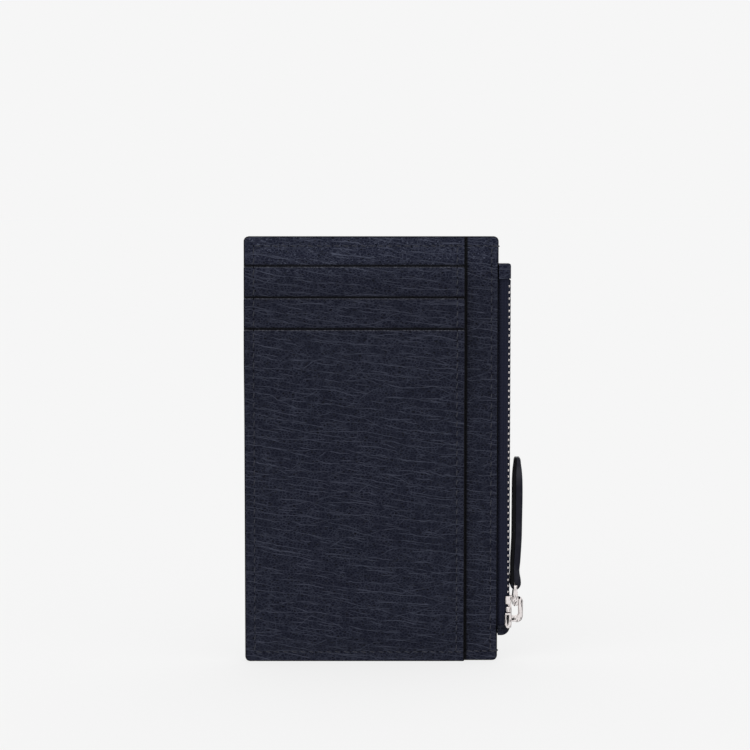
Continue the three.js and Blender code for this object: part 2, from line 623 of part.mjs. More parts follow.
// Folded leather strap: an eye at the fold, a waist, a full middle and a thin rounded tip
function pullStrap() {
  const lowZ = STRAP_TIP_Z - STRAP_L;
  const edge = (sign) => STRAP_STATIONS.map(([share, shift, thick]) => new THREE.Vector2(
    PULL_X + shift + sign * thick / 2, lowZ + share * STRAP_L));
  const right = new THREE.SplineCurve(edge(1)).getPoints(22);
  const left = new THREE.SplineCurve(edge(-1)).getPoints(22).reverse();
  const [, tipShift] = STRAP_STATIONS[STRAP_STATIONS.length - 1];
  const tip = new THREE.Vector2(PULL_X + tipShift, STRAP_TIP_Z);
  const blade = solid(upright(new THREE.Shape([...right, tip, ...left]),
    ZIP_Y - STRAP_W / 2, ZIP_Y + STRAP_W / 2));
  const eye = new THREE.Shape();
  eye.absellipse(PULL_X, lowZ + EYE_HALF_H, EYE_HALF_W, EYE_HALF_H, 0, Math.PI * 2);
  const hole = new THREE.Shape();
  hole.absarc(PULL_X, STRAP_PIVOT_Z, EYE_HOLE_R, 0, Math.PI * 2);
  const round = solid(upright(eye, ZIP_Y - STRAP_W / 2, ZIP_Y + STRAP_W / 2, 9));
  const bore = solid(upright(hole, ZIP_Y - STRAP_W, ZIP_Y + STRAP_W, 9));
  return geometryOf(blade.add(round).subtract(bore));
}

function sliderAndPull() {
  const group = new THREE.Group();
  group.add(part('slider_body', sliderBody(), nickel));
  group.add(part('slider_bridge', sliderBridge(), nickel));
  group.add(part('pull_connector', pullConnector(), nickel));
  group.add(part('pull_strap', pullStrap(), smoothLeather));
  return group;
}

const cardHolder = new THREE.Group();
cardHolder.add(cardSection(), zipPocket(), zip(), sliderAndPull());

export default cardHolder;
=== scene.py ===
"""Slim upright leather card holder with a zipped side pocket: the looks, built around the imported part.

Lengths are in metres. X is to the right across the front, Z is up, and the front faces -Y.
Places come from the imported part's own boxes, read through the frame.
"""
import json
import math

import bmesh
import bpy
import numpy as np
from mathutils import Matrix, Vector


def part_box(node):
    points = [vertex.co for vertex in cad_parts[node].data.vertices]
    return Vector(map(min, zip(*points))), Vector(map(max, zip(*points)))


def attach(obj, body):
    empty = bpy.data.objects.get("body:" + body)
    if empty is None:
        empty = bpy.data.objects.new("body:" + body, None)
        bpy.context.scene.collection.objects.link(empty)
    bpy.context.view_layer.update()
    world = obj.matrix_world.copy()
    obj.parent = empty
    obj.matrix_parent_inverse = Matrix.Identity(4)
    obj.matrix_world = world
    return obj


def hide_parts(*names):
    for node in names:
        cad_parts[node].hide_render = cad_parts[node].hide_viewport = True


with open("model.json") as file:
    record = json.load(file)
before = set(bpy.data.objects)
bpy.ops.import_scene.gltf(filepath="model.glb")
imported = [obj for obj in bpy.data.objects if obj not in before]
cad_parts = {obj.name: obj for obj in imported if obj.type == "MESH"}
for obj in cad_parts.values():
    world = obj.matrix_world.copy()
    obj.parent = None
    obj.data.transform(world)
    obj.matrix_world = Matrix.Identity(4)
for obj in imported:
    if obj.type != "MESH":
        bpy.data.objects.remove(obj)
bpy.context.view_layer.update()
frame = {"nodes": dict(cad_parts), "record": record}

MM = 0.001


def low_high(node):
    """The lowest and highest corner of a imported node, as two arrays."""
    low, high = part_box(node)
    return np.array(low), np.array(high)


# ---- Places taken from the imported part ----

FRONT_LO, FRONT_HI = low_high("front_panel")
BACKING_LO, BACKING_HI = low_high("card_backing")
UPPER_LO, UPPER_HI = low_high("pocket_panel_upper")
MIDDLE_LO, MIDDLE_HI = low_high("pocket_panel_middle")
LOWER_LO, LOWER_HI = low_high("pocket_panel_lower")
BACK_LO, BACK_HI = low_high("back_panel")
TEETH_LO, TEETH_HI = low_high("zip_teeth_front")
SLIDER_LO, SLIDER_HI = low_high("slider_body")
BRIDGE_LO, BRIDGE_HI = low_high("slider_bridge")
STRAP_LO, STRAP_HI = low_high("pull_strap")

JOINTS = {joint["name"]: joint for joint in frame["record"]["behaviour"]["joints"]}
PULL_X, _, EYE_Z = JOINTS["strap_swing"]["pos_m"]
ZIP_Y = (SLIDER_LO[1] + SLIDER_HI[1]) / 2
CHAIN_X = (TEETH_LO[0] + TEETH_HI[0]) / 2

# ---- Leather sizes ----

CORNER_R = 1.5 * MM
SHELL_T = 1.1 * MM
LINING_T = 0.2 * MM
TONGUE_T = 0.12 * MM
CLOTH_RIM = 0.05 * MM

# ---- Seams: how far in from the edges they run, and the length of a stitch with its gap ----

SIDE_SEAM = 3.0 * MM
TOP_SEAM = 2.9 * MM
STRIP_SEAM = 2.1 * MM
CARD_SEAM = 2.45 * MM
STITCH_SIDE = 2.95 * MM
STITCH_TOP = 2.7 * MM
SEAM_END = 0.3 * MM

# ---- Zip ----

TOOTH_PITCH = 1.87 * MM


# ---- Mesh helpers ----

def grid_quads(rows, cols, start=0, wrap=False):
    """Quads over a sheet of points numbered row by row. wrap joins the last column to the first."""
    r = np.arange(rows - 1)[:, None]
    c = np.arange(cols if wrap else cols - 1)[None, :]
    nxt = (c + 1) % cols
    quads = np.stack([r * cols + c, r * cols + nxt, (r + 1) * cols + nxt, (r + 1) * cols + c], axis=-1)
    return quads.reshape(-1, 4) + start


def mesh_object(name, points, faces, materials, face_material=None, smooth=True):
    """A mesh object at the origin from an N x 3 array of points and a list of face arrays."""
    mesh = bpy.data.meshes.new(name)
    corners = [face for group in faces for face in group.tolist()]
    mesh.from_pydata(np.asarray(points).reshape(-1, 3).tolist(), [], corners)
    for material in materials:
        mesh.materials.append(material)
    if face_material is not None:
        mesh.polygons.foreach_set("material_index", np.asarray(face_material, dtype=np.int32))
    mesh.polygons.foreach_set("use_smooth", np.full(len(mesh.polygons), smooth))
    mesh.update()
    piece = bpy.data.objects.new(name, mesh)
    bpy.context.scene.collection.objects.link(piece)
    return piece


def tube_faces(stations, sides, count=1):
    """Quads and end caps of count tubes, each a run of rings numbered ring by ring."""
    per_tube = stations * sides
    quads = grid_quads(stations, sides, wrap=True)
    shift = np.arange(count)[:, None, None] * per_tube
    caps = np.stack([np.arange(sides)[::-1], (stations - 1) * sides + np.arange(sides)])
    return (quads[None] + shift).reshape(-1, 4), (caps[None] + shift).reshape(-1, sides)


def joined(surfaces):
    """Several surfaces as one mesh: each one's faces are renumbered to follow the last one's points."""
    points, faces, base = [], [], 0
    for surface, *groups in surfaces:
        surface = np.asarray(surface).reshape(-1, 3)
        points.append(surface)
        faces += [group + base for group in groups]
        base += len(surface)
    return np.concatenate(points), faces


def outward(piece):
    """Turns a closed mesh's faces outwards."""
    work = bmesh.new()
    work.from_mesh(piece.data)
    bmesh.ops.remove_doubles(work, verts=work.verts, dist=1e-7)
    bmesh.ops.recalc_face_normals(work, faces=work.faces)
    work.to_mesh(piece.data)
    work.free()


def stations(start, end, step, edge_steps):
    """Places from start to end: close together at both ends, as edge_steps says, and step apart between."""
    near = np.array(edge_steps)
    inner = np.linspace(start + near[-1], end - near[-1], max(3, int((end - start) / step)))[1:-1]
    return np.concatenate([start + near, inner, (end - near)[::-1]])


def smooth_step(value, low, high):
    """0 below low, 1 above high, and an S curve between them."""
    t = np.clip((value - low) / (high - low), 0, 1)
    return t * t * (3 - 2 * t)


EDGE_STEPS = np.array([0, 0.12, 0.3, 0.6, 1.0, 1.5, 2.1, 2.5, 2.9, 3.3, 3.9, 4.7]) * MM


def slab(name, low, high, radii, face, thickness, materials, rim=0.32 * MM, step=1.0 * MM):
    """A leather panel: a front sheet and a back sheet on one grid, joined all round by a half-round edge.

    low and high are (x, z) corners. radii round the corners: bottom left, bottom right, top right, top left.
    face(x, z) gives the front sheet's y; the back sheet is thickness behind it.
    materials are those of the front sheet, the edge, the back sheet and, if it differs, the top edge.
    Near a rounded corner each row is shortened to r - sqrt(r^2 - (r - d)^2), d being its distance to the end.
    """
    inner_low = np.array(low) + rim
    inner_high = np.array(high) - rim
    us = stations(inner_low[0], inner_high[0], step, EDGE_STEPS)
    vs = stations(inner_low[1], inner_high[1], step, EDGE_STEPS)
    share = (us - us[0]) / (us[-1] - us[0])

    def shortened(radius_bottom, radius_top):
        rb = max(radius_bottom - rim, 1e-9)
        rt = max(radius_top - rim, 1e-9)
        db = np.clip(rb - (vs - vs[0]), 0, rb)
        dt = np.clip(rt - (vs[-1] - vs), 0, rt)
        return (rb - np.sqrt(rb * rb - db * db)) + (rt - np.sqrt(rt * rt - dt * dt))

    left = inner_low[0] + shortened(radii[0], radii[3])
    right = inner_high[0] - shortened(radii[1], radii[2])
    x = left[:, None] + share[None, :] * (right - left)[:, None]
    z = np.repeat(vs[:, None], len(us), axis=1)
    y_front = face(x, z)
    front = np.stack([x, y_front, z], axis=-1)
    back = np.stack([x, y_front + thickness, z], axis=-1)

    rows, cols = x.shape
    loop = np.concatenate([
        np.stack([np.zeros(cols, int), np.arange(cols)], 1),
        np.stack([np.arange(1, rows), np.full(rows - 1, cols - 1)], 1),
        np.stack([np.full(cols - 1, rows - 1), np.arange(cols - 2, -1, -1)], 1),
        np.stack([np.arange(rows - 2, 0, -1), np.zeros(rows - 2, int)], 1)])
    edge_front = front[loop[:, 0], loop[:, 1]]
    edge_back = back[loop[:, 0], loop[:, 1]]
    flat = edge_front[:, [0, 2]]
    along = np.roll(flat, -1, axis=0) - np.roll(flat, 1, axis=0)
    out = np.stack([along[:, 1], -along[:, 0]], 1)
    out /= np.linalg.norm(out, axis=1, keepdims=True)
    turns = np.radians([-68, -45, -20, 0, 20, 45, 68])
    rings = []
    for turn in turns:
        mix = 0.5 + 0.5 * math.sin(turn)
        ring = edge_front * (1 - mix) + edge_back * mix
        ring[:, 0] += out[:, 0] * rim * math.cos(turn)
        ring[:, 2] += out[:, 1] * rim * math.cos(turn)
        rings.append(ring)

    n = rows * cols
    front_faces = grid_quads(rows, cols)
    back_faces = grid_quads(rows, cols, start=n)[:, ::-1]
    loop_front = loop[:, 0] * cols + loop[:, 1]
    ring_ids = [loop_front] + [2 * n + i * len(loop) + np.arange(len(loop)) for i in range(len(turns))]
    ring_ids.append(n + loop_front)
    side_faces = []
    for one, two in zip(ring_ids[:-1], ring_ids[1:]):
        side_faces.append(np.stack([one, two, np.roll(two, -1), np.roll(one, -1)], 1))
    side_faces = np.concatenate(side_faces)
    points = np.concatenate([front.reshape(-1, 3), back.reshape(-1, 3)] + rings)
    edge_kind = np.ones(len(loop))
    top_edge = slice(cols + rows - 1, 2 * cols + rows - 2)
    edge_kind[top_edge] = 3 if len(materials) > 3 else 1
    material = np.concatenate([
        np.zeros(len(front_faces)), np.full(len(back_faces), 2), np.tile(edge_kind, len(ring_ids) - 1)])
    return mesh_object(name, points, [front_faces, back_faces, side_faces], materials, material)


# ---- Material helpers ----

class Nodes:
    """Short calls for building the node tree of a material or of the sky."""

    def __init__(self, owner):
        owner.use_nodes = True
        self.owner = owner
        self.tree = owner.node_tree
        self.shader = self.tree.nodes.get("Principled BSDF")

    def add(self, kind, **values):
        node = self.tree.nodes.new(kind)
        for key, value in values.items():
            setattr(node, key, value)
        return node

    def link(self, source, target):
        self.tree.links.new(source, target)

    def math(self, operation, a, b=0.0, clamp=False):
        node = self.add("ShaderNodeMath", operation=operation, use_clamp=clamp)
        for socket, value in zip(node.inputs, (a, b)):
            if hasattr(value, "is_linked"):
                self.link(value, socket)
            else:
                socket.default_value = value
        return node.outputs[0]

    def object_coords(self, offset=(0, 0, 0)):
        coords = self.add("ShaderNodeTexCoord").outputs["Object"]
        shift = self.add("ShaderNodeMapping")
        shift.inputs["Location"].default_value = offset
        self.link(coords, shift.inputs["Vector"])
        return shift.outputs[0]

    def stretched(self, vector, scale):
        node = self.add("ShaderNodeVectorMath", operation="MULTIPLY")
        self.link(vector, node.inputs[0])
        node.inputs[1].default_value = scale
        return node.outputs[0]

    def noise(self, vector, scale, detail=2.0, roughness=0.5):
        node = self.add("ShaderNodeTexNoise")
        self.link(vector, node.inputs["Vector"])
        node.inputs["Scale"].default_value = scale
        node.inputs["Detail"].default_value = detail
        node.inputs["Roughness"].default_value = roughness
        return node

    def voronoi(self, vector, scale, feature="DISTANCE_TO_EDGE", randomness=1.0):
        node = self.add("ShaderNodeTexVoronoi", feature=feature)
        self.link(vector, node.inputs["Vector"])
        node.inputs["Scale"].default_value = scale
        node.inputs["Randomness"].default_value = randomness
        return node

    def between(self, value, low, high, to_low=0.0, to_high=1.0):
        node = self.add("ShaderNodeMapRange", interpolation_type="SMOOTHSTEP")
        self.link(value, node.inputs["Value"])
        node.inputs["From Min"].default_value = low
        node.inputs["From Max"].default_value = high
        node.inputs["To Min"].default_value = to_low
        node.inputs["To Max"].default_value = to_high
        return node.outputs[0]

    def mix_colour(self, factor, one, two):
        node = self.add("ShaderNodeMix", data_type="RGBA")
        self.link(factor, node.inputs["Factor"])
        for socket, value in ((node.inputs[6], one), (node.inputs[7], two)):
            if hasattr(value, "is_linked"):
                self.link(value, socket)
            else:
                socket.default_value = (*value, 1)
        return node.outputs[2]

    def scaled(self, vector, factor):
        node = self.add("ShaderNodeVectorMath", operation="SCALE")
        self.link(vector, node.inputs[0])
        self.link(factor, node.inputs["Scale"])
        return node.outputs[0]

    def bump(self, height, strength, distance, normal=None):
        node = self.add("ShaderNodeBump")
        node.inputs["Strength"].default_value = strength
        node.inputs["Distance"].default_value = distance
        self.link(height, node.inputs["Height"])
        if normal is not None:
            self.link(normal, node.inputs["Normal"])
        return node.outputs[0]


def new_material(name):
    return Nodes(bpy.data.materials.new(name))


# Heights over which the leather is painted lighter towards the top: painted light from above.
LIT_TOP_FROM, LIT_TOP_TO = 113 * MM, 127 * MM
SPECKS_FROM, SPECKS_TO = 112 * MM, 124 * MM


def long_grain_leather(name, offset, lift=1.0, shade_above=None, shade_right=None):
    """Navy long-grain leather: thin broken ridges running across, dark pits and a fine network between.

    A set of ridges lies where z + slope x + bend passes a multiple of the set's spacing, the bend being
    slow noise drawn out along x: ridge = 1 - smoothstep(distance to it). Four sets cross at shallow
    angles, each broken up by its own noise. The ridges, the fine network and the flecks are coloured pale
    as painted highlights where the grain catches the light, and the pits dark as painted shade. The leather
    is painted lighter towards the top of the case, painted light from above, and painted dark just above
    shade_above and just right of shade_right, painted shadow where a panel's edge lies on it.
    """
    n = new_material(name)
    height = n.add("ShaderNodeSeparateXYZ")
    n.link(n.object_coords(), height.inputs[0])
    place = n.object_coords(offset)
    split = n.add("ShaderNodeSeparateXYZ")
    n.link(place, split.inputs[0])
    mottled = n.noise(place, 420.0, 3.0).outputs["Fac"]
    fine = n.noise(n.stretched(place, (0.6, 0.6, 1.0)), 650.0, 2.0).outputs["Fac"]
    shiver = n.math("MULTIPLY", fine, 0.7 * MM)

    def ridges(spacing, slope, seed, wander, half_width):
        moved = n.add("ShaderNodeMapping")
        moved.inputs["Location"].default_value = seed
        n.link(n.stretched(place, (0.5, 0.5, 1.0)), moved.inputs["Vector"])
        slow = n.noise(moved.outputs[0], 75.0, 2.0, 0.5).outputs["Fac"]
        level = n.math("ADD", split.outputs[2], n.math("MULTIPLY", split.outputs[0], slope))
        bent = n.math("ADD", n.math("ADD", level, shiver), n.math("MULTIPLY", slow, wander))
        phase = n.math("FRACT", n.math("MULTIPLY", bent, 1.0 / spacing))
        distance = n.math("ABSOLUTE", n.math("SUBTRACT", phase, 0.5))
        broken = n.between(n.noise(moved.outputs[0], 380.0, 2.0).outputs["Fac"], 0.40, 0.58)
        return n.math("MULTIPLY", n.between(distance, 0.0, half_width / spacing, 1.0, 0.0), broken)

    main = n.math("MAXIMUM", ridges(0.0024, 0.14, (0.3, 0.1, 0.7), 0.0050, 0.00017),
                  ridges(0.0031, 0.08, (0.9, 0.5, 0.2), 0.0065, 0.00017))
    crossing = n.math("MAXIMUM", ridges(0.0038, 0.26, (0.5, 0.8, 0.4), 0.0080, 0.00017),
                      ridges(0.0070, -0.30, (0.1, 0.6, 0.9), 0.0110, 0.00016))
    main = n.math("MAXIMUM", main, n.math("MULTIPLY", crossing, 0.75))
    cells = n.voronoi(n.stretched(place, (0.62, 0.62, 1.0)), 1500.0).outputs["Distance"]
    net = n.math("MULTIPLY", n.between(cells, 0.0, 0.20, 1.0, 0.0),
                 n.between(mottled, 0.30, 0.70, 0.18, 0.48))
    flecks = n.noise(n.stretched(place, (0.7, 0.7, 1.0)), 1900.0, 2.0).outputs["Fac"]
    specks = n.math("MULTIPLY", n.between(flecks, 0.58, 0.70),
                    n.between(height.outputs[2], SPECKS_FROM, SPECKS_TO, 0.25, 0.9))
    lines = n.math("MAXIMUM", n.math("MAXIMUM", main, net), specks)
    centres = n.voronoi(n.stretched(place, (0.60, 0.60, 1.1)), 1150.0, feature="F1").outputs["Distance"]
    sparse = n.between(n.noise(place, 700.0, 1.0).outputs["Fac"], 0.38, 0.50)
    pits = n.math("MULTIPLY", n.between(centres, 0.12, 0.38, 1.0, 0.0), sparse)

    # The dark colour is painted shade in the pits; the pale colour is painted highlight on the ridges, the
    # network and the flecks.
    dark = tuple(lift * c for c in (0.0003, 0.0006, 0.0030))
    mid = tuple(lift * c for c in (0.0028, 0.0038, 0.0120))
    light = tuple(lift * c for c in (0.0050, 0.0064, 0.0165))
    pale = tuple(lift * c for c in (0.0460, 0.0510, 0.0760))
    base = n.mix_colour(pits, n.mix_colour(mottled, mid, light), dark)
    colour = n.mix_colour(lines, base, pale)
    # Painted light: the colour grows up to 1.35 times lighter towards the top of the case.
    level = n.between(height.outputs[2], LIT_TOP_FROM, LIT_TOP_TO, 1.0, 1.35)
    # Painted shadow in the slot's opening just above a lip, down to 0.12 of the colour.
    if shade_above is not None:
        below = n.between(height.outputs[2], shade_above + 0.25 * MM, shade_above + 0.95 * MM, 0.12, 1.0)
        level = n.math("MULTIPLY", level, below)
    # Painted shadow on the strip just right of the card section's edge, down to 0.10 of the colour; under the
    # section it is left as it is.
    if shade_right is not None:
        beside = n.between(height.outputs[0], shade_right + 0.45 * MM, shade_right + 1.0 * MM, 0.10, 1.0)
        covered = n.between(height.outputs[0], shade_right - 1.0 * MM, shade_right - 0.5 * MM, 1.0, 0.0)
        level = n.math("MULTIPLY", level, n.math("MAXIMUM", beside, covered))
    n.link(n.scaled(colour, level), n.shader.inputs["Base Color"])
    relief = n.math("SUBTRACT", n.math("MULTIPLY", lines, 0.7), n.math("MULTIPLY", pits, 0.5))
    n.link(n.bump(relief, 0.7, 0.00014), n.shader.inputs["Normal"])
    n.link(n.between(mottled, 0.3, 0.7, 0.46, 0.58), n.shader.inputs["Roughness"])
    n.shader.inputs["Specular IOR Level"].default_value = 0.10
    return n.owner


def edge_paint():
    """Near-black edge paint, slightly uneven, with a low gloss."""
    n = new_material("edge_paint")
    place = n.object_coords()
    uneven = n.noise(place, 900.0, 3.0).outputs["Fac"]
    n.link(n.mix_colour(uneven, (0.0022, 0.0021, 0.0028), (0.0050, 0.0048, 0.0062)),
           n.shader.inputs["Base Color"])
    n.link(n.between(uneven, 0.3, 0.7, 0.42, 0.55), n.shader.inputs["Roughness"])
    n.link(n.bump(uneven, 0.3, 0.0001), n.shader.inputs["Normal"])
    n.shader.inputs["Specular IOR Level"].default_value = 0.08
    return n.owner


def lip_leather():
    """The turned edge of a pocket's lip: painted paler than the leather, a painted highlight where the
    rounded edge catches the light from above.
    """
    n = new_material("lip_leather")
    place = n.object_coords()
    grain = n.voronoi(n.stretched(place, (0.8, 1.0, 1.0)), 1100.0).outputs["Distance"]
    beads = n.between(grain, 0.05, 0.30)
    n.link(n.mix_colour(beads, (0.0120, 0.0130, 0.0220), (0.0480, 0.0500, 0.0660)),
           n.shader.inputs["Base Color"])
    n.link(n.bump(beads, 0.5, 0.0001), n.shader.inputs["Normal"])
    n.shader.inputs["Roughness"].default_value = 0.5
    n.shader.inputs["Specular IOR Level"].default_value = 0.2
    return n.owner


def smooth_strap_leather():
    """Smooth navy leather, nearly black: very fine pores, a satin shine, a painted highlight near its tip."""
    n = new_material("smooth_strap_leather")
    place = n.object_coords()
    pores = n.voronoi(n.stretched(place, (1, 1, 0.6)), 2600.0, feature="SMOOTH_F1").outputs["Distance"]
    streak = n.noise(n.stretched(place, (1, 1, 0.15)), 900.0, 3.0).outputs["Fac"]
    cloud = n.noise(place, 260.0, 2.0).outputs["Fac"]
    height = n.add("ShaderNodeSeparateXYZ")
    n.link(place, height.inputs[0])
    # A painted highlight near the strap's tip, mixed with random paler clouds of the leather's own tone.
    tip = STRAP_HI[2]
    tip_highlight = n.math("MULTIPLY", n.between(height.outputs[2], tip - 8.75 * MM, tip - 4.75 * MM),
                    n.between(height.outputs[2], tip - 3.75 * MM, tip - 1.25 * MM, 1.0, 0.0))
    base = n.mix_colour(streak, (0.0060, 0.0061, 0.0120), (0.0112, 0.0114, 0.0205))
    clouded = n.math("MULTIPLY", n.between(cloud, 0.45, 0.8), 0.6)
    highlight_and_clouds = n.math("MAXIMUM", n.math("MULTIPLY", tip_highlight, 0.8), clouded)
    n.link(n.mix_colour(highlight_and_clouds, base, (0.0290, 0.0300, 0.0380)), n.shader.inputs["Base Color"])
    relief = n.math("ADD", n.math("MULTIPLY", pores, 0.6), n.math("MULTIPLY", streak, 0.5))
    n.link(n.bump(relief, 0.35, 0.00008), n.shader.inputs["Normal"])
    n.link(n.between(streak, 0.3, 0.7, 0.36, 0.48), n.shader.inputs["Roughness"])
    n.shader.inputs["Specular IOR Level"].default_value = 0.12
    return n.owner


def woven_tape():
    """Woven zip tape: ribs sin(2 pi (x + y) / rib) times picks sin(2 pi z / pick + 1.2 ribs)."""
    n = new_material("woven_tape")
    place = n.object_coords()
    split = n.add("ShaderNodeSeparateXYZ")
    n.link(place, split.inputs[0])
    across = n.math("ADD", split.outputs[0], split.outputs[1])
    rib, pick = 0.62 * MM, 0.45 * MM
    ribs = n.math("SINE", n.math("MULTIPLY", across, 2 * math.pi / rib))
    picks = n.math("SINE", n.math("ADD", n.math("MULTIPLY", split.outputs[2], 2 * math.pi / pick),
                                  n.math("MULTIPLY", ribs, 1.2)))
    weave = n.math("MULTIPLY", n.math("ADD", ribs, 1.2), n.math("ADD", picks, 1.2))
    fuzz = n.noise(place, 2600.0, 2.0).outputs["Fac"]
    shade = n.math("ADD", n.math("MULTIPLY", weave, 0.16), n.math("MULTIPLY", fuzz, 0.3), clamp=True)
    n.link(n.mix_colour(shade, (0.0085, 0.0096, 0.0205), (0.0215, 0.0240, 0.0430)),
           n.shader.inputs["Base Color"])
    n.link(n.bump(weave, 0.5, 0.0001), n.shader.inputs["Normal"])
    n.shader.inputs["Roughness"].default_value = 0.85
    n.shader.inputs["Specular IOR Level"].default_value = 0.06
    n.shader.inputs["Sheen Weight"].default_value = 0.02
    n.shader.inputs["Sheen Roughness"].default_value = 0.5
    return n.owner


def lining_cloth():
    """Matt plain-woven lining: warp sin(2 pi x / yarn) times weft sin(2 pi z / yarn)."""
    n = new_material("lining_cloth")
    place = n.object_coords()
    split = n.add("ShaderNodeSeparateXYZ")
    n.link(place, split.inputs[0])
    yarn = 0.4 * MM
    warp = n.math("SINE", n.math("MULTIPLY", split.outputs[0], 2 * math.pi / yarn))
    weft = n.math("SINE", n.math("MULTIPLY", split.outputs[2], 2 * math.pi / yarn))
    weave = n.math("MULTIPLY", warp, weft)
    fuzz = n.noise(place, 1800.0, 2.0).outputs["Fac"]
    n.link(n.mix_colour(fuzz, (0.007, 0.008, 0.015), (0.015, 0.017, 0.030)), n.shader.inputs["Base Color"])
    n.link(n.bump(weave, 0.4, 0.00006), n.shader.inputs["Normal"])
    n.shader.inputs["Roughness"].default_value = 0.9
    n.shader.inputs["Specular IOR Level"].default_value = 0.2
    return n.owner


def nickel(name, roughness, waviness=0.00016):
    """Bright nickel plate with faint polishing marks, over a casting that isn't quite flat."""
    n = new_material(name)
    place = n.object_coords()
    marks = n.noise(n.stretched(place, (1, 1, 0.2)), 5000.0, 3.0).outputs["Fac"]
    cloud = n.noise(place, 500.0, 2.0).outputs["Fac"]
    waves = n.noise(n.stretched(place, (1, 1, 0.55)), 1100.0, 1.0).outputs["Fac"]
    n.link(n.mix_colour(cloud, (0.79, 0.735, 0.725), (0.90, 0.845, 0.835)), n.shader.inputs["Base Color"])
    n.link(n.between(marks, 0.3, 0.7, roughness * 0.8, roughness * 1.25), n.shader.inputs["Roughness"])
    n.link(n.bump(marks, 0.08, 0.00004, n.bump(waves, 1.0, waviness)), n.shader.inputs["Normal"])
    n.shader.inputs["Metallic"].default_value = 1.0
    return n.owner


def sewing_thread():
    """Bonded navy thread with a slight shine, twisted: light and dark by sin(2 pi (x + z) / lay), the twist's
    own tone with its light bands made pale as painted glints.
    """
    n = new_material("sewing_thread")
    place = n.object_coords()
    split = n.add("ShaderNodeSeparateXYZ")
    n.link(place, split.inputs[0])
    lay = 0.28 * MM
    along = n.math("ADD", split.outputs[0], split.outputs[2])
    twist = n.math("SINE", n.math("MULTIPLY", along, 2 * math.pi / lay))
    n.link(n.mix_colour(n.between(twist, -1, 1), (0.0100, 0.0110, 0.0180), (0.0600, 0.0630, 0.0800)),
           n.shader.inputs["Base Color"])
    n.link(n.bump(twist, 0.4, 0.00005), n.shader.inputs["Normal"])
    n.shader.inputs["Roughness"].default_value = 0.4
    n.shader.inputs["Specular IOR Level"].default_value = 0.18
    return n.owner


def painted_shade_black():
    """Near black: painted shade for the inside of a needle hole and for the slider's gaps."""
    n = new_material("painted_shade_black")
    place = n.object_coords()
    fuzz = n.noise(place, 4000.0, 2.0).outputs["Fac"]
    n.link(n.mix_colour(fuzz, (0.0015, 0.0015, 0.003), (0.004, 0.004, 0.006)), n.shader.inputs["Base Color"])
    n.shader.inputs["Roughness"].default_value = 0.95
    n.shader.inputs["Specular IOR Level"].default_value = 0.1
    return n.owner


EDGE = edge_paint()
LIP = lip_leather()
LINING = lining_cloth()
TAPE = woven_tape()
STRAP = smooth_strap_leather()
BRIGHT = nickel("bright_nickel", 0.09)
TEETH_METAL = nickel("tooth_nickel", 0.24, 0.00005)
THREAD = sewing_thread()
PAINTED_SHADE_BLACK = painted_shade_black()


# ---- Camera, stage and light ----

def camera():
    """A long lens, a little above the case and looking slightly down at it.

    lens = sensor width x distance / field, field being the width seen at the case's front.
    """
    pitch = math.radians(4.5)
    distance = 0.70
    field = 0.2262
    aim = Vector((1.14 * MM, LOWER_LO[1], 87.9 * MM))
    data = bpy.data.cameras.new("camera")
    data.sensor_width = 36.0
    data.lens = data.sensor_width * distance / field
    data.clip_start = 0.01
    data.clip_end = 20.0
    holder = bpy.data.objects.new("camera", data)
    holder.location = aim + Vector((0, -math.cos(pitch), math.sin(pitch))) * distance
    holder.rotation_euler = (math.pi / 2 - pitch, 0, 0)
    bpy.context.scene.collection.objects.link(holder)
    bpy.context.scene.camera = holder


SKY = 0.922
FLOOR_GLOW = 0.8
CARD_DARK = 0.03
CARD_COUNT = 8.0
METAL_X = 43 * MM
SUNS = (("key_sun", (-0.50, -0.80, 0.95), 0.55, 50.0), ("fill_sun", (0.90, -0.25, 0.60), 0.20, 60.0),
        ("back_sun", (0.25, 0.90, 0.90), 0.30, 60.0))


def ring_of_cards(n, east, north):
    """White and dark cards standing round the metal: smoothstep of cos(CARD_COUNT x azimuth)."""
    wave = n.math("COSINE", n.math("MULTIPLY", n.math("ARCTAN2", east, north), CARD_COUNT))
    return n.between(wave, -0.75, 0.15, CARD_DARK, 1.0)


def mirrored_only(n, brightness):
    """brightness where a reflection sees it, and 1 for everything else."""
    mirrored = n.add("ShaderNodeLightPath").outputs["Is Glossy Ray"]
    return n.math("ADD", n.math("SUBTRACT", 1.0, mirrored), n.math("MULTIPLY", mirrored, brightness))


def lamps():
    """Three broad soft lamps. Returns the light they put on the floor: the sum of strength x cosine / pi."""
    on_floor = 0.0
    for name, towards, strength, spread in SUNS:
        light = bpy.data.lights.new(name, "SUN")
        light.energy = strength
        light.angle = math.radians(spread)
        lamp = bpy.data.objects.new(name, light)
        lamp.rotation_euler = Vector(towards).to_track_quat("Z", "Y").to_euler()
        bpy.context.scene.collection.objects.link(lamp)
        on_floor += strength * Vector(towards).normalized().z / math.pi
    return on_floor


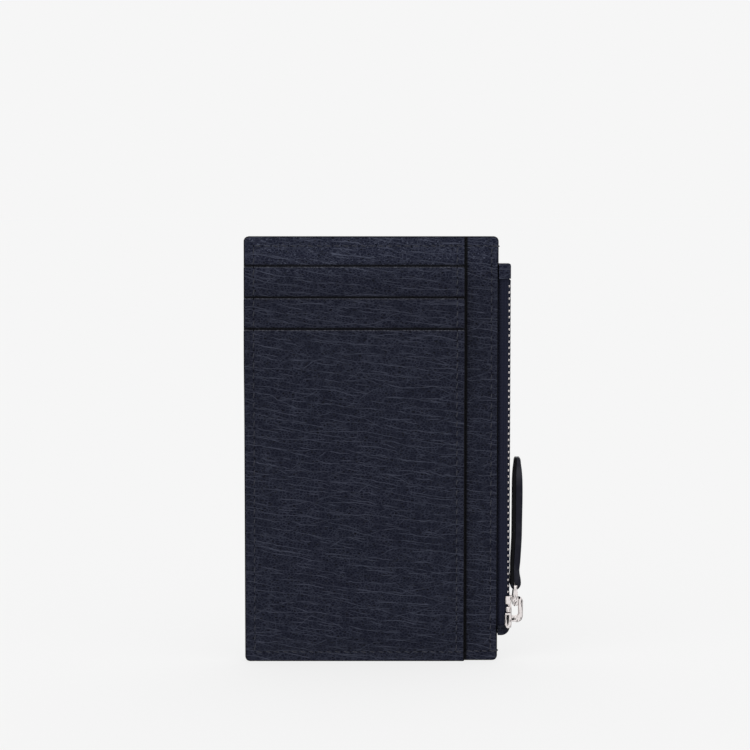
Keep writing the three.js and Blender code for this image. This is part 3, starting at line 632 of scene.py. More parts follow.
def pale_floor(lamp_light):
    """A plain disc that glows with FLOOR_GLOW of the sky's brightness, which keeps its shadow faint.

    Its colour is (1 - FLOOR_GLOW) sky / (sky + the lamps' light), so that the lit floor is as bright
    as the sky and meets it with no visible edge.
    """
    tone = (1 - FLOOR_GLOW) * SKY / (SKY + lamp_light)
    n = new_material("pale_floor")
    cloud = n.noise(n.object_coords(), 3.0, 2.0).outputs["Fac"]
    ground = n.add("ShaderNodeSeparateXYZ")
    n.link(n.object_coords((-METAL_X, 0, 0)), ground.inputs[0])
    seen = mirrored_only(n, ring_of_cards(n, ground.outputs[0], ground.outputs[1]))
    colour = n.mix_colour(cloud, (tone - 0.001,) * 3, (tone + 0.001,) * 3)
    n.link(n.scaled(colour, seen), n.shader.inputs["Base Color"])
    n.shader.inputs["Roughness"].default_value = 1.0
    n.shader.inputs["Specular IOR Level"].default_value = 0.0
    n.link(seen, n.shader.inputs["Emission Color"])
    n.shader.inputs["Emission Strength"].default_value = FLOOR_GLOW * SKY
    sides = 96
    around = np.linspace(0, 2 * math.pi, sides, endpoint=False)
    radius = np.array([0.001, 0.3, 2.0, 12.0])[:, None]
    level = np.zeros((len(radius), sides))
    rings = np.stack([radius * np.cos(around), radius * np.sin(around), level], axis=-1)
    floor = mesh_object("studio_floor", rings, [grid_quads(len(radius), sides, wrap=True)], [n.owner])
    floor.data.flip_normals()


def soft_sky():
    """An even sky. Reflections see the ring of cards in it, fading out overhead."""
    world = bpy.data.worlds.new("soft_sky")
    n = Nodes(world)
    background = n.tree.nodes["Background"]
    background.inputs["Strength"].default_value = SKY
    split = n.add("ShaderNodeSeparateXYZ")
    n.link(n.add("ShaderNodeTexCoord").outputs["Generated"], split.inputs[0])
    cards = ring_of_cards(n, split.outputs[0], split.outputs[1])
    n.link(mirrored_only(n, n.math("MAXIMUM", cards, split.outputs[2])), background.inputs["Color"])
    bpy.context.scene.world = world


def plain_view():
    """Colours shown as they are, with no film look."""
    view = bpy.context.scene.view_settings
    view.view_transform = "Standard"
    view.look = "None"


camera()
pale_floor(lamps())
soft_sky()
plain_view()


# ---- Leather panels ----

def edge_pinch(x, z):
    """1 at the sewn left, top and bottom edges of the case, falling smoothly to 0 a few millimetres in."""
    reach_in, reach_out = 3.2 * MM, 9.0 * MM
    from_left = x - FRONT_LO[0]
    from_ends = np.minimum(z - FRONT_LO[2], FRONT_HI[2] - z)
    left = 1 - smooth_step(from_left, reach_in, reach_out)
    ends = 1 - smooth_step(from_ends, reach_in, reach_out)
    return 1 - (1 - left) * (1 - ends)


def seam_groove(distance, depth=0.10 * MM, half_width=0.55 * MM):
    """A soft groove pressed by a row of stitches: depth x exp(-(distance / half width)^2)."""
    return depth * np.exp(-(distance / half_width) ** 2)


CARD_LEFT = LOWER_LO[0]
CARD_RIGHT = LOWER_HI[0]
LEFT_SEAM_X = CARD_LEFT + SIDE_SEAM
CARD_SEAM_X = CARD_RIGHT - CARD_SEAM
STRIP_SEAM_X = FRONT_HI[0] - STRIP_SEAM
BOTTOM_SEAM_Z = TOP_SEAM
TOP_SEAM_Z = FRONT_HI[2] - TOP_SEAM
NOTE_CLOSE = (FRONT_LO[1] - BACKING_HI[1]) - 0.04 * MM


def frame_of_seams(x, z, right_seam):
    """Depth of the grooves at a panel's left, bottom and top seams and at the right seam given."""
    return (seam_groove(x - LEFT_SEAM_X) + seam_groove(x - right_seam)
            + seam_groove(z - BOTTOM_SEAM_Z) + seam_groove(z - TOP_SEAM_Z))


def lip_crease(z, lip):
    """The creased line a millimetre below a pocket's lip."""
    return seam_groove(z - (lip - 1.15 * MM), 0.09 * MM, 0.16 * MM)


def bow(x):
    """1 midway between the card section's seams and 0 at them: 1 - s^4 across the width."""
    s = (x - (CARD_LEFT + CARD_RIGHT) / 2) / ((CARD_RIGHT - CARD_LEFT) / 2 - SIDE_SEAM)
    return np.clip(1 - s ** 4, 0, 1)


SLOT_ROOM = BACKING_LO[1] - LOWER_HI[1]


def slot_room(x, z):
    """Room between the backing and the lower pocket: all of it at the lips, less below them, none in a seam.

    room = SLOT_ROOM (1 - below (0.30 + 0.42 seams)), closing to 0.05 mm near the edges.
    """
    below = 1 - smooth_step(z, 70 * MM, MIDDLE_LO[2] + 1 * MM)
    right = CARD_RIGHT - x
    seams = np.maximum(edge_pinch(x, z), 1 - smooth_step(right, 2.8 * MM, 8.0 * MM))
    room = SLOT_ROOM * (1 - below * (0.30 + 0.42 * seams))
    inset = np.minimum(np.minimum(x - CARD_LEFT, right), z - LOWER_LO[2])
    shut = below * (1 - smooth_step(inset, 2.9 * MM, 4.6 * MM))
    return room * (1 - shut) + 0.05 * MM * shut


def panel_face(base_y, lip=None, bowed=0.0, sunk=False):
    """Front surface of a card-section layer, as a function of x and z.

    y = base + pinch at the edges + seam grooves + lip crease - bow near the lip, and what the slot
    room lacks where the layer is sunk onto those behind it.
    """
    def face(x, z):
        y = base_y + NOTE_CLOSE * edge_pinch(x, z) + frame_of_seams(x, z, CARD_SEAM_X)
        if lip is not None:
            y = y + lip_crease(z, lip) - bowed * bow(x) * smooth_step(z, lip - 9 * MM, lip)
        if sunk:
            y = y + SLOT_ROOM - slot_room(x, z)
        return y
    return face


LOWER_FACE = panel_face(LOWER_LO[1], LOWER_HI[2], 0.2 * MM, sunk=True)
MIDDLE_FACE = panel_face(MIDDLE_LO[1], MIDDLE_HI[2], 0.12 * MM)
UPPER_FACE = panel_face(UPPER_LO[1], UPPER_HI[2], 0.05 * MM)
BACKING_FACE = panel_face(BACKING_LO[1])


def ride_replace(piece, body, node):
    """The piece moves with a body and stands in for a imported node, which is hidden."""
    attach(piece, body)
    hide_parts(node)


def leather_panel(name, node, radii, face, offset, shade_above=None, shade_right=None, lip=False):
    """A slab of long-grain leather on a packed panel's outline, as thick as that panel."""
    low, high = low_high(node)
    leather = long_grain_leather("leather_" + name, offset, 1.0, shade_above, shade_right)
    materials = [leather, EDGE, LINING] + ([LIP] if lip else [])
    piece = slab(name, low[[0, 2]], high[[0, 2]], radii, face, high[1] - low[1], materials)
    ride_replace(piece, "case", node)


def card_section():
    """The backing and the three stepped pockets on it. Each is painted dark just above the next one's lip:
    painted shadow in the slot's opening.
    """
    r = CORNER_R
    leather_panel("card_backing_leather", "card_backing", (r, 0, 0, r), BACKING_FACE, (0.0, 0.0, 0.011),
                  shade_above=UPPER_HI[2])
    leather_panel("pocket_leather_upper", "pocket_panel_upper", (0, 0, 0, 0), UPPER_FACE,
                  (0.037, 0.0, 0.023), shade_above=MIDDLE_HI[2], lip=True)
    leather_panel("pocket_leather_middle", "pocket_panel_middle", (0, 0, 0, 0), MIDDLE_FACE,
                  (0.081, 0.0, 0.057), shade_above=LOWER_HI[2], lip=True)
    leather_panel("pocket_leather_lower", "pocket_panel_lower", (r, 0, 0, 0), LOWER_FACE,
                  (0.0, 0.0, 0.0), lip=True)


def slot_linings():
    """The fabric tongues and the lower pocket's lining, spread evenly through the slot room."""
    inset = 4.7 * MM
    for node, share in (("pocket_tongue_upper", 0.25), ("pocket_tongue_middle", 0.55),
                        ("pocket_lining_lower", 0.85)):
        low, high = low_high(node)

        def face(x, z, share=share):
            y = BACKING_LO[1] - TONGUE_T / 2 - share * slot_room(x, z)
            return y + NOTE_CLOSE * edge_pinch(x, z)

        piece = slab(node + "_cloth", (low[0] + inset - SIDE_SEAM, max(low[2], inset)),
                     (high[0] - inset + SIDE_SEAM, high[2]), (0, 0, 0, 0), face, TONGUE_T,
                     [LINING, LINING, LINING], rim=CLOTH_RIM, step=2.0 * MM)
        ride_replace(piece, "case", node)


def front_face(x, z):
    """Front surface of the panel behind the card section: flat, with its seam grooves."""
    return FRONT_LO[1] + frame_of_seams(x, z, STRIP_SEAM_X)


def back_dish(x, z):
    """Outer surface of the back panel: flat seam flanges, then a soft S-shaped rise to a flat middle."""
    rise_start, rise_end = 3.4 * MM, 12.5 * MM
    from_left = x - BACK_LO[0]
    from_ends = np.minimum(z - BACK_LO[2], BACK_HI[2] - z)
    up = smooth_step(from_left, rise_start, rise_end) * smooth_step(from_ends, rise_start, rise_end)
    flange = BACK_LO[1] + SHELL_T
    return flange + (BACK_HI[1] - flange) * up - frame_of_seams(x, z, STRIP_SEAM_X)


def back_leather():
    """The dished back panel: a slab whose grain side is its back sheet, back_dish(x, z)."""
    leather = long_grain_leather("leather_back_panel_leather", (0.061, 0.0, 0.037))
    r = CORNER_R
    piece = slab("back_panel_leather", BACK_LO[[0, 2]], BACK_HI[[0, 2]], (r, r, r, r),
                 lambda x, z: back_dish(x, z) - SHELL_T, SHELL_T, [leather, EDGE, LINING])
    piece.data.polygons.foreach_set("material_index", swap_sides(piece.data))
    ride_replace(piece, "case", "back_panel")


def zip_pocket():
    """The two leathers of the zip pocket, and the back one's lining 0.05 mm inside it."""
    r = CORNER_R
    # shade_right paints a shadow on this panel beside the card section's right edge.
    leather_panel("front_panel_leather", "front_panel", (r, r, r, r), front_face, (0.013, 0.0, 0.091),
                  shade_right=CARD_RIGHT)
    back_leather()
    node = "zip_pocket_lining_back"
    low, high = low_high(node)
    inward = SHELL_T + 0.05 * MM + LINING_T
    lining = slab("zip_pocket_cloth_back", low[[0, 2]], high[[0, 2]], (6 * MM, 0, 0, 6 * MM),
                  lambda x, z: back_dish(x, z) - inward, LINING_T, [LINING, LINING, LINING],
                  rim=CLOTH_RIM, step=2.0 * MM)
    ride_replace(lining, "case", node)


def swap_sides(mesh):
    """Material numbers with the front and back sheets exchanged, for a panel whose grain side faces back."""
    index = np.empty(len(mesh.polygons), dtype=np.int32)
    mesh.polygons.foreach_get("material_index", index)
    swapped = index.copy()
    swapped[index == 0] = 2
    swapped[index == 2] = 0
    return swapped


# ---- Stitches ----

STITCH_R = 0.18 * MM
STITCH_SUNK = 0.02 * MM
STITCH_LEAN = math.radians(10)
STITCH_RINGS = np.array([-1.0, -0.85, -0.45, 0.0, 0.45, 0.85, 1.0])
STITCH_SIDES = 6
HOLE_SIDES = 8


def stitch_row(starts, along, out, length):
    """Points of a row of stitches, each a thin capsule whose ends dive into its needle holes.

    Along a stitch s runs from -1 to 1: its height over the leather falls as -s^4 and its radius as
    sqrt(1 - s^4). along is the row's direction, out the leather's outward normal, and each stitch
    leans out of line by STITCH_LEAN.
    """
    s = STITCH_RINGS
    turn = np.linspace(0, 2 * math.pi, STITCH_SIDES, endpoint=False)
    radius = STITCH_R * np.sqrt(np.clip(1.04 - s ** 4, 0, 1))
    lift = 0.02 * MM - 0.24 * MM * s ** 4 - STITCH_SUNK
    axis = along * math.cos(STITCH_LEAN) + np.cross(along, out) * math.sin(STITCH_LEAN)
    side = np.cross(axis, out)
    centre = (np.asarray(starts)[:, None, :] + s[None, :, None] * axis * length * 0.42
              + lift[None, :, None] * out)
    round_it = np.cos(turn)[None, :, None] * side + 0.8 * np.sin(turn)[None, :, None] * out
    return centre[:, :, None, :] + (radius[:, None, None] * round_it)[None]


def hole_points(starts, along, out):
    """Needle holes between the stitches: small flat ovals a hair proud of the groove, near black as painted
    shade of the holes' insides.
    """
    turn = np.linspace(0, 2 * math.pi, HOLE_SIDES, endpoint=False)
    across = np.cross(along, out)
    rim = 0.42 * MM * np.cos(turn)[:, None] * along + 0.30 * MM * np.sin(turn)[:, None] * across
    top = rim * 0.55 + out * 0.05 * MM
    bottom = rim * 0.9 - out * 0.12 * MM
    return np.asarray(starts)[:, None, None, :] + np.stack([bottom, top])[None]


def sew(name, rows, out):
    """One object for several rows of stitches. Each row is (start, end, pitch, surface)."""
    surfaces, kinds = [], []
    for start, end, pitch, surface in rows:
        start, end = np.array(start, float), np.array(end, float)
        run = np.linalg.norm(end - start)
        count = max(2, int(round(run / pitch)))
        along = (end - start) / run

        def on_leather(share):
            places = start + share[:, None] * (end - start)
            places[:, 1] = surface(places[:, 0], places[:, 2])
            return places

        stitches = stitch_row(on_leather((np.arange(count) + 0.5) / count), along, out, run / count)
        holes = hole_points(on_leather(np.arange(count + 1) / count), along, out)
        stitch_faces = tube_faces(len(STITCH_RINGS), STITCH_SIDES, count)
        hole_faces = tube_faces(2, HOLE_SIDES, count + 1)
        surfaces += [(stitches, *stitch_faces), (holes, *hole_faces)]
        kinds += [np.full(len(faces), 0) for faces in stitch_faces]
        kinds += [np.full(len(faces), 1) for faces in hole_faces]
    points, faces = joined(surfaces)
    # The needle holes take the near-black painted shade.
    piece = mesh_object(name, points, faces, [THREAD, PAINTED_SHADE_BLACK], np.concatenate(kinds))
    outward(piece)
    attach(piece, "case")


def stitching():
    """The seams of the card section and of the strip beside it, and the seams round the back."""
    lips = (LOWER_HI[2], MIDDLE_HI[2], UPPER_HI[2])
    starts = [BOTTOM_SEAM_Z] + [lip + SEAM_END for lip in lips]
    ends = [lip - SEAM_END for lip in lips] + [TOP_SEAM_Z]
    faces = (LOWER_FACE, MIDDLE_FACE, UPPER_FACE, BACKING_FACE)
    card_end, strip_start, strip_end = CARD_RIGHT - SEAM_END, CARD_RIGHT + SEAM_END, FRONT_HI[0] - SEAM_END

    def upright(x, low, high, surface):
        return (x, 0, low), (x, 0, high), STITCH_SIDE, surface

    def level(z, left, right, surface):
        return (left, 0, z), (right, 0, z), STITCH_TOP, surface

    rows = [upright(x, start, end, face)
            for x in (LEFT_SEAM_X, CARD_SEAM_X) for start, end, face in zip(starts, ends, faces)]
    rows += [level(TOP_SEAM_Z, LEFT_SEAM_X, card_end, BACKING_FACE),
             level(BOTTOM_SEAM_Z, LEFT_SEAM_X, card_end, LOWER_FACE),
             level(TOP_SEAM_Z, strip_start, strip_end, front_face),
             level(BOTTOM_SEAM_Z, strip_start, strip_end, front_face),
             upright(STRIP_SEAM_X, BOTTOM_SEAM_Z, TOP_SEAM_Z, front_face)]
    sew("front_stitching", rows, np.array([0.0, -1.0, 0.0]))
    back_rows = [upright(x, BOTTOM_SEAM_Z, TOP_SEAM_Z, back_dish) for x in (LEFT_SEAM_X, STRIP_SEAM_X)]
    back_rows += [level(z, LEFT_SEAM_X, strip_end, back_dish) for z in (TOP_SEAM_Z, BOTTOM_SEAM_Z)]
    sew("back_stitching", back_rows, np.array([0.0, 1.0, 0.0]))


# ---- Zip chain ----

TOOTH_SIDES = 12


def zip_teeth(name, node, side, shift):
    """A row of teeth, each a loft of rounded sections along its length.

    A section is a superellipse: x = a cos^p(t), z = b sin^p(t), its half sizes a and b changing from
    the narrow head, past the middle of the chain, to the leg that grips the bead, and its centre
    moving out to the tape's outer side at the leg's tip.
    """
    low, high = low_high(node)
    count = int(round((high[2] - low[2]) / TOOTH_PITCH))
    reach = np.array([-0.45, -0.42, -0.25, 0.1, 0.55, 0.75, 0.9,
                      1.35, 1.6, 1.75, 1.85, 1.95, 2.06, 2.12]) * MM
    half_x = np.array([0.30, 0.50, 0.62, 0.62, 0.64, 0.70, 0.79,
                       0.80, 0.78, 0.58, 0.42, 0.36, 0.34, 0.20]) * MM
    half_z = np.array([0.12, 0.24, 0.30, 0.30, 0.30, 0.34, 0.44,
                       0.46, 0.46, 0.42, 0.39, 0.37, 0.35, 0.20]) * MM
    outward_shift = np.array([0, 0, 0, 0, 0, 0, 0, 0, 0, 0.08, 0.18, 0.27, 0.30, 0.30]) * MM
    turn = np.linspace(0, 2 * math.pi, TOOTH_SIDES, endpoint=False)
    power = 0.6
    cx = np.sign(np.cos(turn)) * np.abs(np.cos(turn)) ** power
    cz = np.sign(np.sin(turn)) * np.abs(np.sin(turn)) ** power
    tooth = np.stack([CHAIN_X + outward_shift[:, None] + half_x[:, None] * cx,
                      np.repeat((ZIP_Y + side * reach)[:, None], TOOTH_SIDES, axis=1),
                      half_z[:, None] * cz], axis=-1)
    heights = low[2] + (np.arange(count) + shift) * TOOTH_PITCH
    points = np.repeat(tooth[None], count, axis=0)
    points[..., 2] += heights[:, None, None]
    piece = mesh_object(name, points, tube_faces(len(reach), TOOTH_SIDES, count), [TEETH_METAL])
    outward(piece)
    ride_replace(piece, "case", node)


def tape_bead(name, side):
    """The corded edge of a tape, which the teeth grip: an oval cord whose surface swells between teeth.

    Half sizes = (half_x, half_y) (1 + 0.03 cos(2 pi z / pitch)), drawn in to a blunt tip at both ends.
    """
    sides = 14
    half_x, half_y, out = 0.82 * MM, 0.5 * MM, 1.52 * MM
    z = np.linspace(TEETH_LO[2] - 1.2 * MM, TEETH_HI[2] + 0.8 * MM, 441)
    swell = 1 + 0.03 * np.cos(2 * math.pi * (z - TEETH_LO[2]) / TOOTH_PITCH + (math.pi if side > 0 else 0))
    ends = np.sqrt(np.clip(np.minimum(z - z[0], z[-1] - z) / (0.4 * MM), 0.02, 1))
    turn = np.linspace(0, 2 * math.pi, sides, endpoint=False)
    size = (swell * ends)[:, None]
    points = np.stack([CHAIN_X + half_x * size * np.cos(turn),
                       ZIP_Y + side * out + half_y * size * np.sin(turn),
                       np.repeat(z[:, None], sides, axis=1)], axis=-1)
    piece = mesh_object(name, points, tube_faces(len(z), sides), [TAPE])
    outward(piece)
    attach(piece, "case")


# ---- Pull strap ----

def smooth_curve(points, count):
    """Points along a Catmull-Rom curve: each span is a cubic through its ends, sloped by its neighbours."""
    knots = np.asarray(points, dtype=float)
    padded = np.concatenate([2 * knots[:1] - knots[1:2], knots, 2 * knots[-1:] - knots[-2:-1]])
    t = np.linspace(0, len(knots) - 1, count)
    i = np.minimum(t.astype(int), len(knots) - 2)
    u = (t - i)[:, None]
    a, b, c, d = padded[i], padded[i + 1], padded[i + 2], padded[i + 3]
    square = 2 * a - 5 * b + 4 * c - d
    cube = 3 * b - a - 3 * c + d
    return 0.5 * (2 * b + (c - a) * u + square * u ** 2 + cube * u ** 3)


# Side view of the strap's blade: share of its length above the lower end, centre offset, thickness
BLADE = ((0.145, -0.14 * MM, 2.75 * MM), (0.22, 0.0, 3.0 * MM), (0.39, 0.36 * MM, 3.05 * MM),
         (0.54, 0.44 * MM, 3.1 * MM), (0.69, 0.5 * MM, 3.17 * MM), (0.82, 0.5 * MM, 3.1 * MM),
         (0.90, 0.48 * MM, 2.72 * MM), (0.945, 0.46 * MM, 2.26 * MM), (0.985, 0.46 * MM, 1.86 * MM))


def pull_strap():
    """A strip of leather folded round the connector's bar, its two plies lying against each other.

    A section is a rounded bar across the strip, carried from the tip down the left ply, round the
    eye and up the right ply. It runs from an outer curve, the strap's outline, to an inner curve:
    the line between the plies, and round the eye an egg-shaped hole.
    """
    length = STRAP_HI[2] - STRAP_LO[2]
    half_w = (STRAP_HI[1] - STRAP_LO[1]) / 2
    low_z = STRAP_LO[2]
    eye_w, eye_h = 1.7 * MM, 2.2 * MM
    parted = 0.03 * MM
    split = -0.30

    angle = np.linspace(-math.pi, 0, 41)
    eye_outer = np.stack([PULL_X + eye_w * np.cos(angle), low_z + eye_h + eye_h * np.sin(angle)], 1)
    hole_r = 0.60 * MM
    round_hole = np.linspace(-1.22 * math.pi, 0.22 * math.pi, 41)
    eye_inner = np.stack([PULL_X + hole_r * np.cos(round_hole), EYE_Z + hole_r * np.sin(round_hole)], 1)

    def side_curves(sign):
        outer = [(PULL_X + shift + sign * thick / 2, low_z + share * length) for share, shift, thick in BLADE]
        inner = [(PULL_X + shift + split * thick / 2 + sign * parted, low_z + share * length)
                 for share, shift, thick in BLADE]
        tip_x = PULL_X + 0.46 * MM
        outer_end = (tip_x + sign * 0.66 * MM, low_z + length - 0.03 * MM)
        inner_end = (tip_x + split * MM, low_z + length - 0.06 * MM)
        first = 0 if sign < 0 else -1
        drop = (PULL_X + split * 1.1 * MM + sign * parted, EYE_Z + 1.05 * MM)
        outer_knots = [eye_outer[first], (PULL_X + sign * 1.62 * MM, low_z + 3.3 * MM)] + outer + [outer_end]
        inner_knots = [eye_inner[first], drop] + inner + [inner_end]
        return smooth_curve(outer_knots, 61), smooth_curve(inner_knots, 61)

    left_outer, left_inner = side_curves(-1)
    right_outer, right_inner = side_curves(1)
    outer = np.concatenate([left_outer[::-1], eye_outer[1:-1], right_outer])
    inner = np.concatenate([left_inner[::-1], eye_inner[1:-1], right_inner])

    turn = np.linspace(0, math.pi / 2, 5)
    soft, crisp = 0.42 * MM, 0.12 * MM
    gap = np.linalg.norm(inner - outer, axis=1)
    soft_share = np.minimum(soft / gap, 0.45)[:, None]
    crisp_share = np.minimum(crisp / gap, 0.2)[:, None]
    across = [(soft_share * (1 - np.cos(turn)), half_w - soft * (1 - np.sin(turn))),
              (1 - crisp_share * (1 - np.sin(turn)), half_w - crisp * (1 - np.cos(turn)))]
    share = np.concatenate([across[0][0], across[1][0]], axis=1)
    y = np.concatenate([across[0][1], across[1][1]])
    share = np.concatenate([share, share[:, ::-1]], axis=1)
    y = np.concatenate([y, -y[::-1]])
    flat = outer[:, None, :] + share[..., None] * (inner - outer)[:, None, :]
    points = np.stack([flat[..., 0], np.broadcast_to(ZIP_Y + y, share.shape), flat[..., 1]], axis=-1)
    quads, caps = tube_faces(len(outer), share.shape[1])
    # The left ply gets the near-black edge paint as painted shade on the strap's left side; the right ply
    # keeps the strap leather.
    left_ply = np.arange(len(quads)) // share.shape[1] < len(left_outer)
    kinds = np.concatenate([np.where(left_ply, 1, 0), [0, 0]])
    piece = mesh_object("strap_leather", points, [quads, caps], [STRAP, EDGE], kinds)
    outward(piece)
    ride_replace(piece, "strap", "pull_strap")


# ---- Slider side walls ----

def loop_wall(outer, inner, near_y, far_y, round_r, count=72):
    """A flat closed ring between two outlines in x and z, with rounded front edges.

    Both outlines are walked at even shares of their lengths; the section goes out along the back,
    round the outer edge, across the front and round the inner edge.
    """
    def walk(outline):
        knots = np.concatenate([outline, outline[:1]])
        run = np.concatenate([[0], np.cumsum(np.linalg.norm(np.diff(knots, axis=0), axis=1))])
        at = np.linspace(0, run[-1], count, endpoint=False)
        return np.stack([np.interp(at, run, knots[:, 0]), np.interp(at, run, knots[:, 1])], 1)

    out_loop, in_loop = walk(outer), walk(inner)
    shares = np.array([0.0, 0.0, 0.06, 0.2, 0.5, 0.8, 0.94, 1.0, 1.0])
    depth = np.array([0.0, 0.55, 0.85, 1.0, 1.0, 1.0, 0.85, 0.55, 0.0])
    face = far_y - round_r * (far_y - near_y) * (1 - depth)
    face[0] = face[-1] = near_y
    flat = out_loop[None] + shares[:, None, None] * (in_loop - out_loop)[None]
    points = np.stack([flat[..., 0], np.repeat(face[:, None], count, axis=1), flat[..., 1]], axis=-1)
    quads = grid_quads(len(shares), count, wrap=True)
    closing = np.stack([np.arange(count) + (len(shares) - 1) * count,
                        np.roll(np.arange(count), -1) + (len(shares) - 1) * count,
                        np.roll(np.arange(count), -1), np.arange(count)], 1)
    return points.reshape(-1, 3), np.concatenate([quads, closing])


def pillow(low, high, power=0.35, rows=13, cols=28):
    """A rounded block: a superellipsoid, each axis sign(c) |c|^power of its sphere coordinate."""
    up = np.linspace(-math.pi / 2, math.pi / 2, rows)[1:-1, None]
    turn = np.linspace(0, 2 * math.pi, cols, endpoint=False)[None, :]

    def bent(value):
        return np.sign(value) * np.abs(value) ** power

    body = np.stack([bent(np.cos(up)) * bent(np.cos(turn)), bent(np.cos(up)) * bent(np.sin(turn)),
                     np.broadcast_to(bent(np.sin(up)), (rows - 2, cols))], axis=-1).reshape(-1, 3)
    points = (low + high) / 2 + np.concatenate([body, [[0, 0, -1], [0, 0, 1]]]) * (high - low) / 2
    around = np.arange(cols)
    last = (rows - 3) * cols
    fans = [np.stack([np.full(cols, len(body)), np.roll(around, -1), around], 1),
            np.stack([np.full(cols, len(body) + 1), last + around, last + np.roll(around, -1)], 1)]
    return points, grid_quads(rows - 2, cols, wrap=True), np.concatenate(fans)


CHEEK_TOP, CHEEK_START = 4.75, 0.06
CHEEK_OUT = np.array(((-0.58, CHEEK_TOP), (-0.62, 3.0), (-0.66, 1.3), (-0.30, 0.40), (0.12, CHEEK_START),
                      (0.55, 0.16), (1.10, 0.75), (1.38, 1.6), (1.38, 3.2), (1.38, CHEEK_TOP)))
CHEEK_IN = np.array(((-0.06, 4.20), (-0.04, 3.0), (0.02, 1.8), (0.10, 1.30), (0.22, 1.20), (0.34, 1.30),
                     (0.42, 1.8), (0.50, 2.4), (0.56, 3.2), (0.58, 4.20)))


def slider_walls():
    """The slider's folded side walls: a rear block, a round pin below it and a wedge-slotted cheek.

    Sizes are in millimetres from the chain's middle in x, from the zip's in y and from the slider's
    lower end in z. The front cheek reaches down over the bottom fold; the back one stops above it.
    Its outline is the same, squeezed in z.
    """
    origin = np.array([CHAIN_X, ZIP_Y, SLIDER_LO[2]])
    for word, side, near, far, start in (("front", -1, 3.84, 4.22, CHEEK_START),
                                         ("back", 1, 3.30, 3.74, 1.15)):
        outlines = []
        for outline in (CHEEK_OUT, CHEEK_IN):
            z = start + (outline[:, 1] - CHEEK_START) * (CHEEK_TOP - start) / (CHEEK_TOP - CHEEK_START)
            outlines.append(origin[[0, 2]] + np.stack([outline[:, 0], z], 1) * MM)
        surfaces = [loop_wall(*outlines, ZIP_Y + side * near * MM, ZIP_Y + side * far * MM, 0.5)]
        for (x0, z0), (x1, z1), y0, y1, power in (
                ((-0.56, 7.55), (1.30, 9.98), 3.30, far, 0.30),
                ((-0.40, 4.95), (1.26, 6.75), 3.30, far - 0.10, 0.62),
                ((0.98, 1.3), (1.42, 6.55), 2.2, near + 0.04, 0.25),
                ((0.98, 7.75), (1.42, 9.6), 2.2, 3.40, 0.25)):
            y_low, y_high = sorted((side * y0, side * y1))
            low = origin + np.array([x0, y_low, z0]) * MM
            high = origin + np.array([x1, y_high, z1]) * MM
            surfaces.append(pillow(low, high, power))
        points, faces = joined(surfaces)
        piece = mesh_object("slider_wall_" + word, points, faces, [BRIGHT])
        outward(piece)
        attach(piece, "slider")


def slider_painted_shadows():
    """Painted shadows: near-black pieces on the slot above the bridge's foot, the notch at its upper corner
    and the cheeks' insides, where shade falls.

    Places are in millimetres from the same point as the side walls'.
    """
    origin = np.array([CHAIN_X, ZIP_Y, SLIDER_LO[2]])
    front = -(BRIDGE_HI[1] - BRIDGE_LO[1]) / MM / 2
    surfaces = []
    for low, high, power in (
            ((1.40, front - 0.03, 1.95), (2.50, front + 0.3, 2.70), 0.6),
            ((2.10, front - 0.03, 2.10), (3.15, front + 0.3, 2.65), 0.8),
            ((3.40, front - 0.03, 8.45), (4.25, front + 0.3, 9.35), 0.5),
            ((-0.35, -3.83, 1.05), (0.90, -3.50, 4.45), 0.2),
            ((-0.35, 3.27, 1.90), (0.90, 3.31, 4.45), 0.2)):
        surfaces.append(pillow(origin + np.array(low) * MM, origin + np.array(high) * MM, power, 9, 20))
    points, faces = joined(surfaces)
    # Near-black pieces: painted shadow in the slider's gaps.
    piece = mesh_object("slider_painted_shadows", points, faces, [PAINTED_SHADE_BLACK])
    outward(piece)
    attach(piece, "slider")


# ---- Thread knobs where a seam passes over the case's edge ----

def thread_knobs():
    """Small loops of thread round the right edge, at the ends of the top and bottom seams.

    Each is a tube whose centre line is a half oval from the front face, round the edge, to the back.
    """
    path = np.linspace(-0.62 * math.pi, 0.62 * math.pi, 17)
    turn = np.linspace(0, 2 * math.pi, 8, endpoint=False)
    back_y = BACK_LO[1] + SHELL_T
    middle_y = (FRONT_LO[1] + back_y) / 2
    half_y = (back_y - FRONT_LO[1]) / 2 + 0.08 * MM
    reach = 0.9 * MM
    radius = 0.20 * MM
    centre_x = FRONT_HI[0] - 0.75 * MM + reach * np.cos(path)
    centre_y = middle_y + half_y * np.sin(path)
    out = np.stack([np.cos(path), np.sin(path)], 1)
    for word, z in (("lower", BOTTOM_SEAM_Z + 0.1 * MM), ("upper", TOP_SEAM_Z - 0.1 * MM)):
        points = np.stack([
            centre_x[:, None] + radius * np.cos(turn) * out[:, :1],
            centre_y[:, None] + radius * np.cos(turn) * out[:, 1:],
            z + radius * np.sin(turn) + np.zeros((len(path), 1))], axis=-1)
        piece = mesh_object("thread_knob_" + word, points, tube_faces(len(path), len(turn)), [THREAD])
        outward(piece)
        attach(piece, "case")


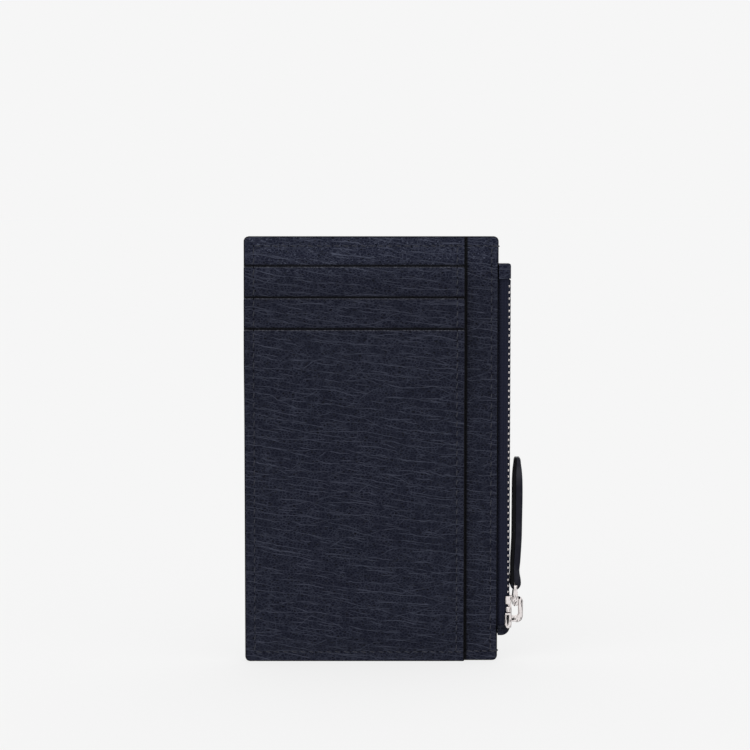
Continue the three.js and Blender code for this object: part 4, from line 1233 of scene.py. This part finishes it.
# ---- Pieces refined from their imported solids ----

def refined(name, node, body, material, bevel, segments=3, angle=35.0, corner=None):
    """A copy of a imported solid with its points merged, its flat faces joined and its edges rounded.

    corner is a radius for the upper right corner, seen from the front.
    """
    mesh = frame["nodes"][node].data.copy()
    work = bmesh.new()
    work.from_mesh(mesh)
    bmesh.ops.remove_doubles(work, verts=work.verts, dist=1e-6)
    bmesh.ops.dissolve_limit(work, angle_limit=math.radians(2.0), verts=work.verts, edges=work.edges)
    if corner is not None:
        top = max(v.co.z for v in work.verts) - 0.1 * MM
        right = max(v.co.x for v in work.verts) - 0.1 * MM
        edges = [e for e in work.edges if all(v.co.z > top and v.co.x > right for v in e.verts)]
        bmesh.ops.bevel(work, geom=edges, offset=corner, segments=5, profile=0.5, affect="EDGES")
    work.to_mesh(mesh)
    work.free()
    mesh.materials.clear()
    mesh.materials.append(material)
    piece = bpy.data.objects.new(name, mesh)
    bpy.context.scene.collection.objects.link(piece)
    mesh.polygons.foreach_set("use_smooth", np.full(len(mesh.polygons), True))
    rounding = piece.modifiers.new("rounded_edges", "BEVEL")
    rounding.width = bevel
    rounding.segments = segments
    rounding.limit_method = "ANGLE"
    rounding.angle_limit = math.radians(angle)
    rounding.harden_normals = False
    shading = piece.modifiers.new("even_shading", "WEIGHTED_NORMAL")
    shading.keep_sharp = True
    ride_replace(piece, body, node)


def give_material(node, material):
    """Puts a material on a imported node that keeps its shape."""
    data = frame["nodes"][node].data
    data.materials.clear()
    data.materials.append(material)


def hardware():
    """The castings, the leather at the zip's ends, the tapes, and small pieces that keep their shape."""
    refined("slider_casting", "slider_body", "slider", BRIGHT, 0.16 * MM)
    refined("slider_bridge_casting", "slider_bridge", "slider", BRIGHT, 0.3 * MM)
    refined("connector_ring", "pull_connector", "connector", BRIGHT, 0.26 * MM)
    end_leather = long_grain_leather("zip_end_leather", (0.021, 0.0, 0.017), 1.1)
    refined("zip_tab_leather", "zip_end_tab", "case", end_leather, 0.18 * MM,
            corner=0.9 * MM)
    fold_leather = long_grain_leather("zip_fold_leather", (0.047, 0.0, 0.033), 0.62)
    refined("zip_fold_leather", "zip_end_fold", "case", fold_leather, 0.14 * MM)
    for node in ("zip_stop_front", "zip_stop_back", "zip_end_staple"):
        give_material(node, TEETH_METAL)
    for word in ("front", "back"):
        refined("tape_cloth_" + word, "zip_tape_" + word, "case", TAPE, 0.05 * MM, 2, 60.0)
    for node in ("note_pocket_lining", "zip_pocket_lining_front"):
        give_material(node, LINING)


card_section()
slot_linings()
zip_pocket()
stitching()
zip_teeth("zip_teeth_row_front", "zip_teeth_front", -1, 0.25)
zip_teeth("zip_teeth_row_back", "zip_teeth_back", 1, 0.75)
tape_bead("tape_bead_front", -1)
tape_bead("tape_bead_back", 1)
hardware()
pull_strap()
slider_walls()
slider_painted_shadows()
thread_knobs()
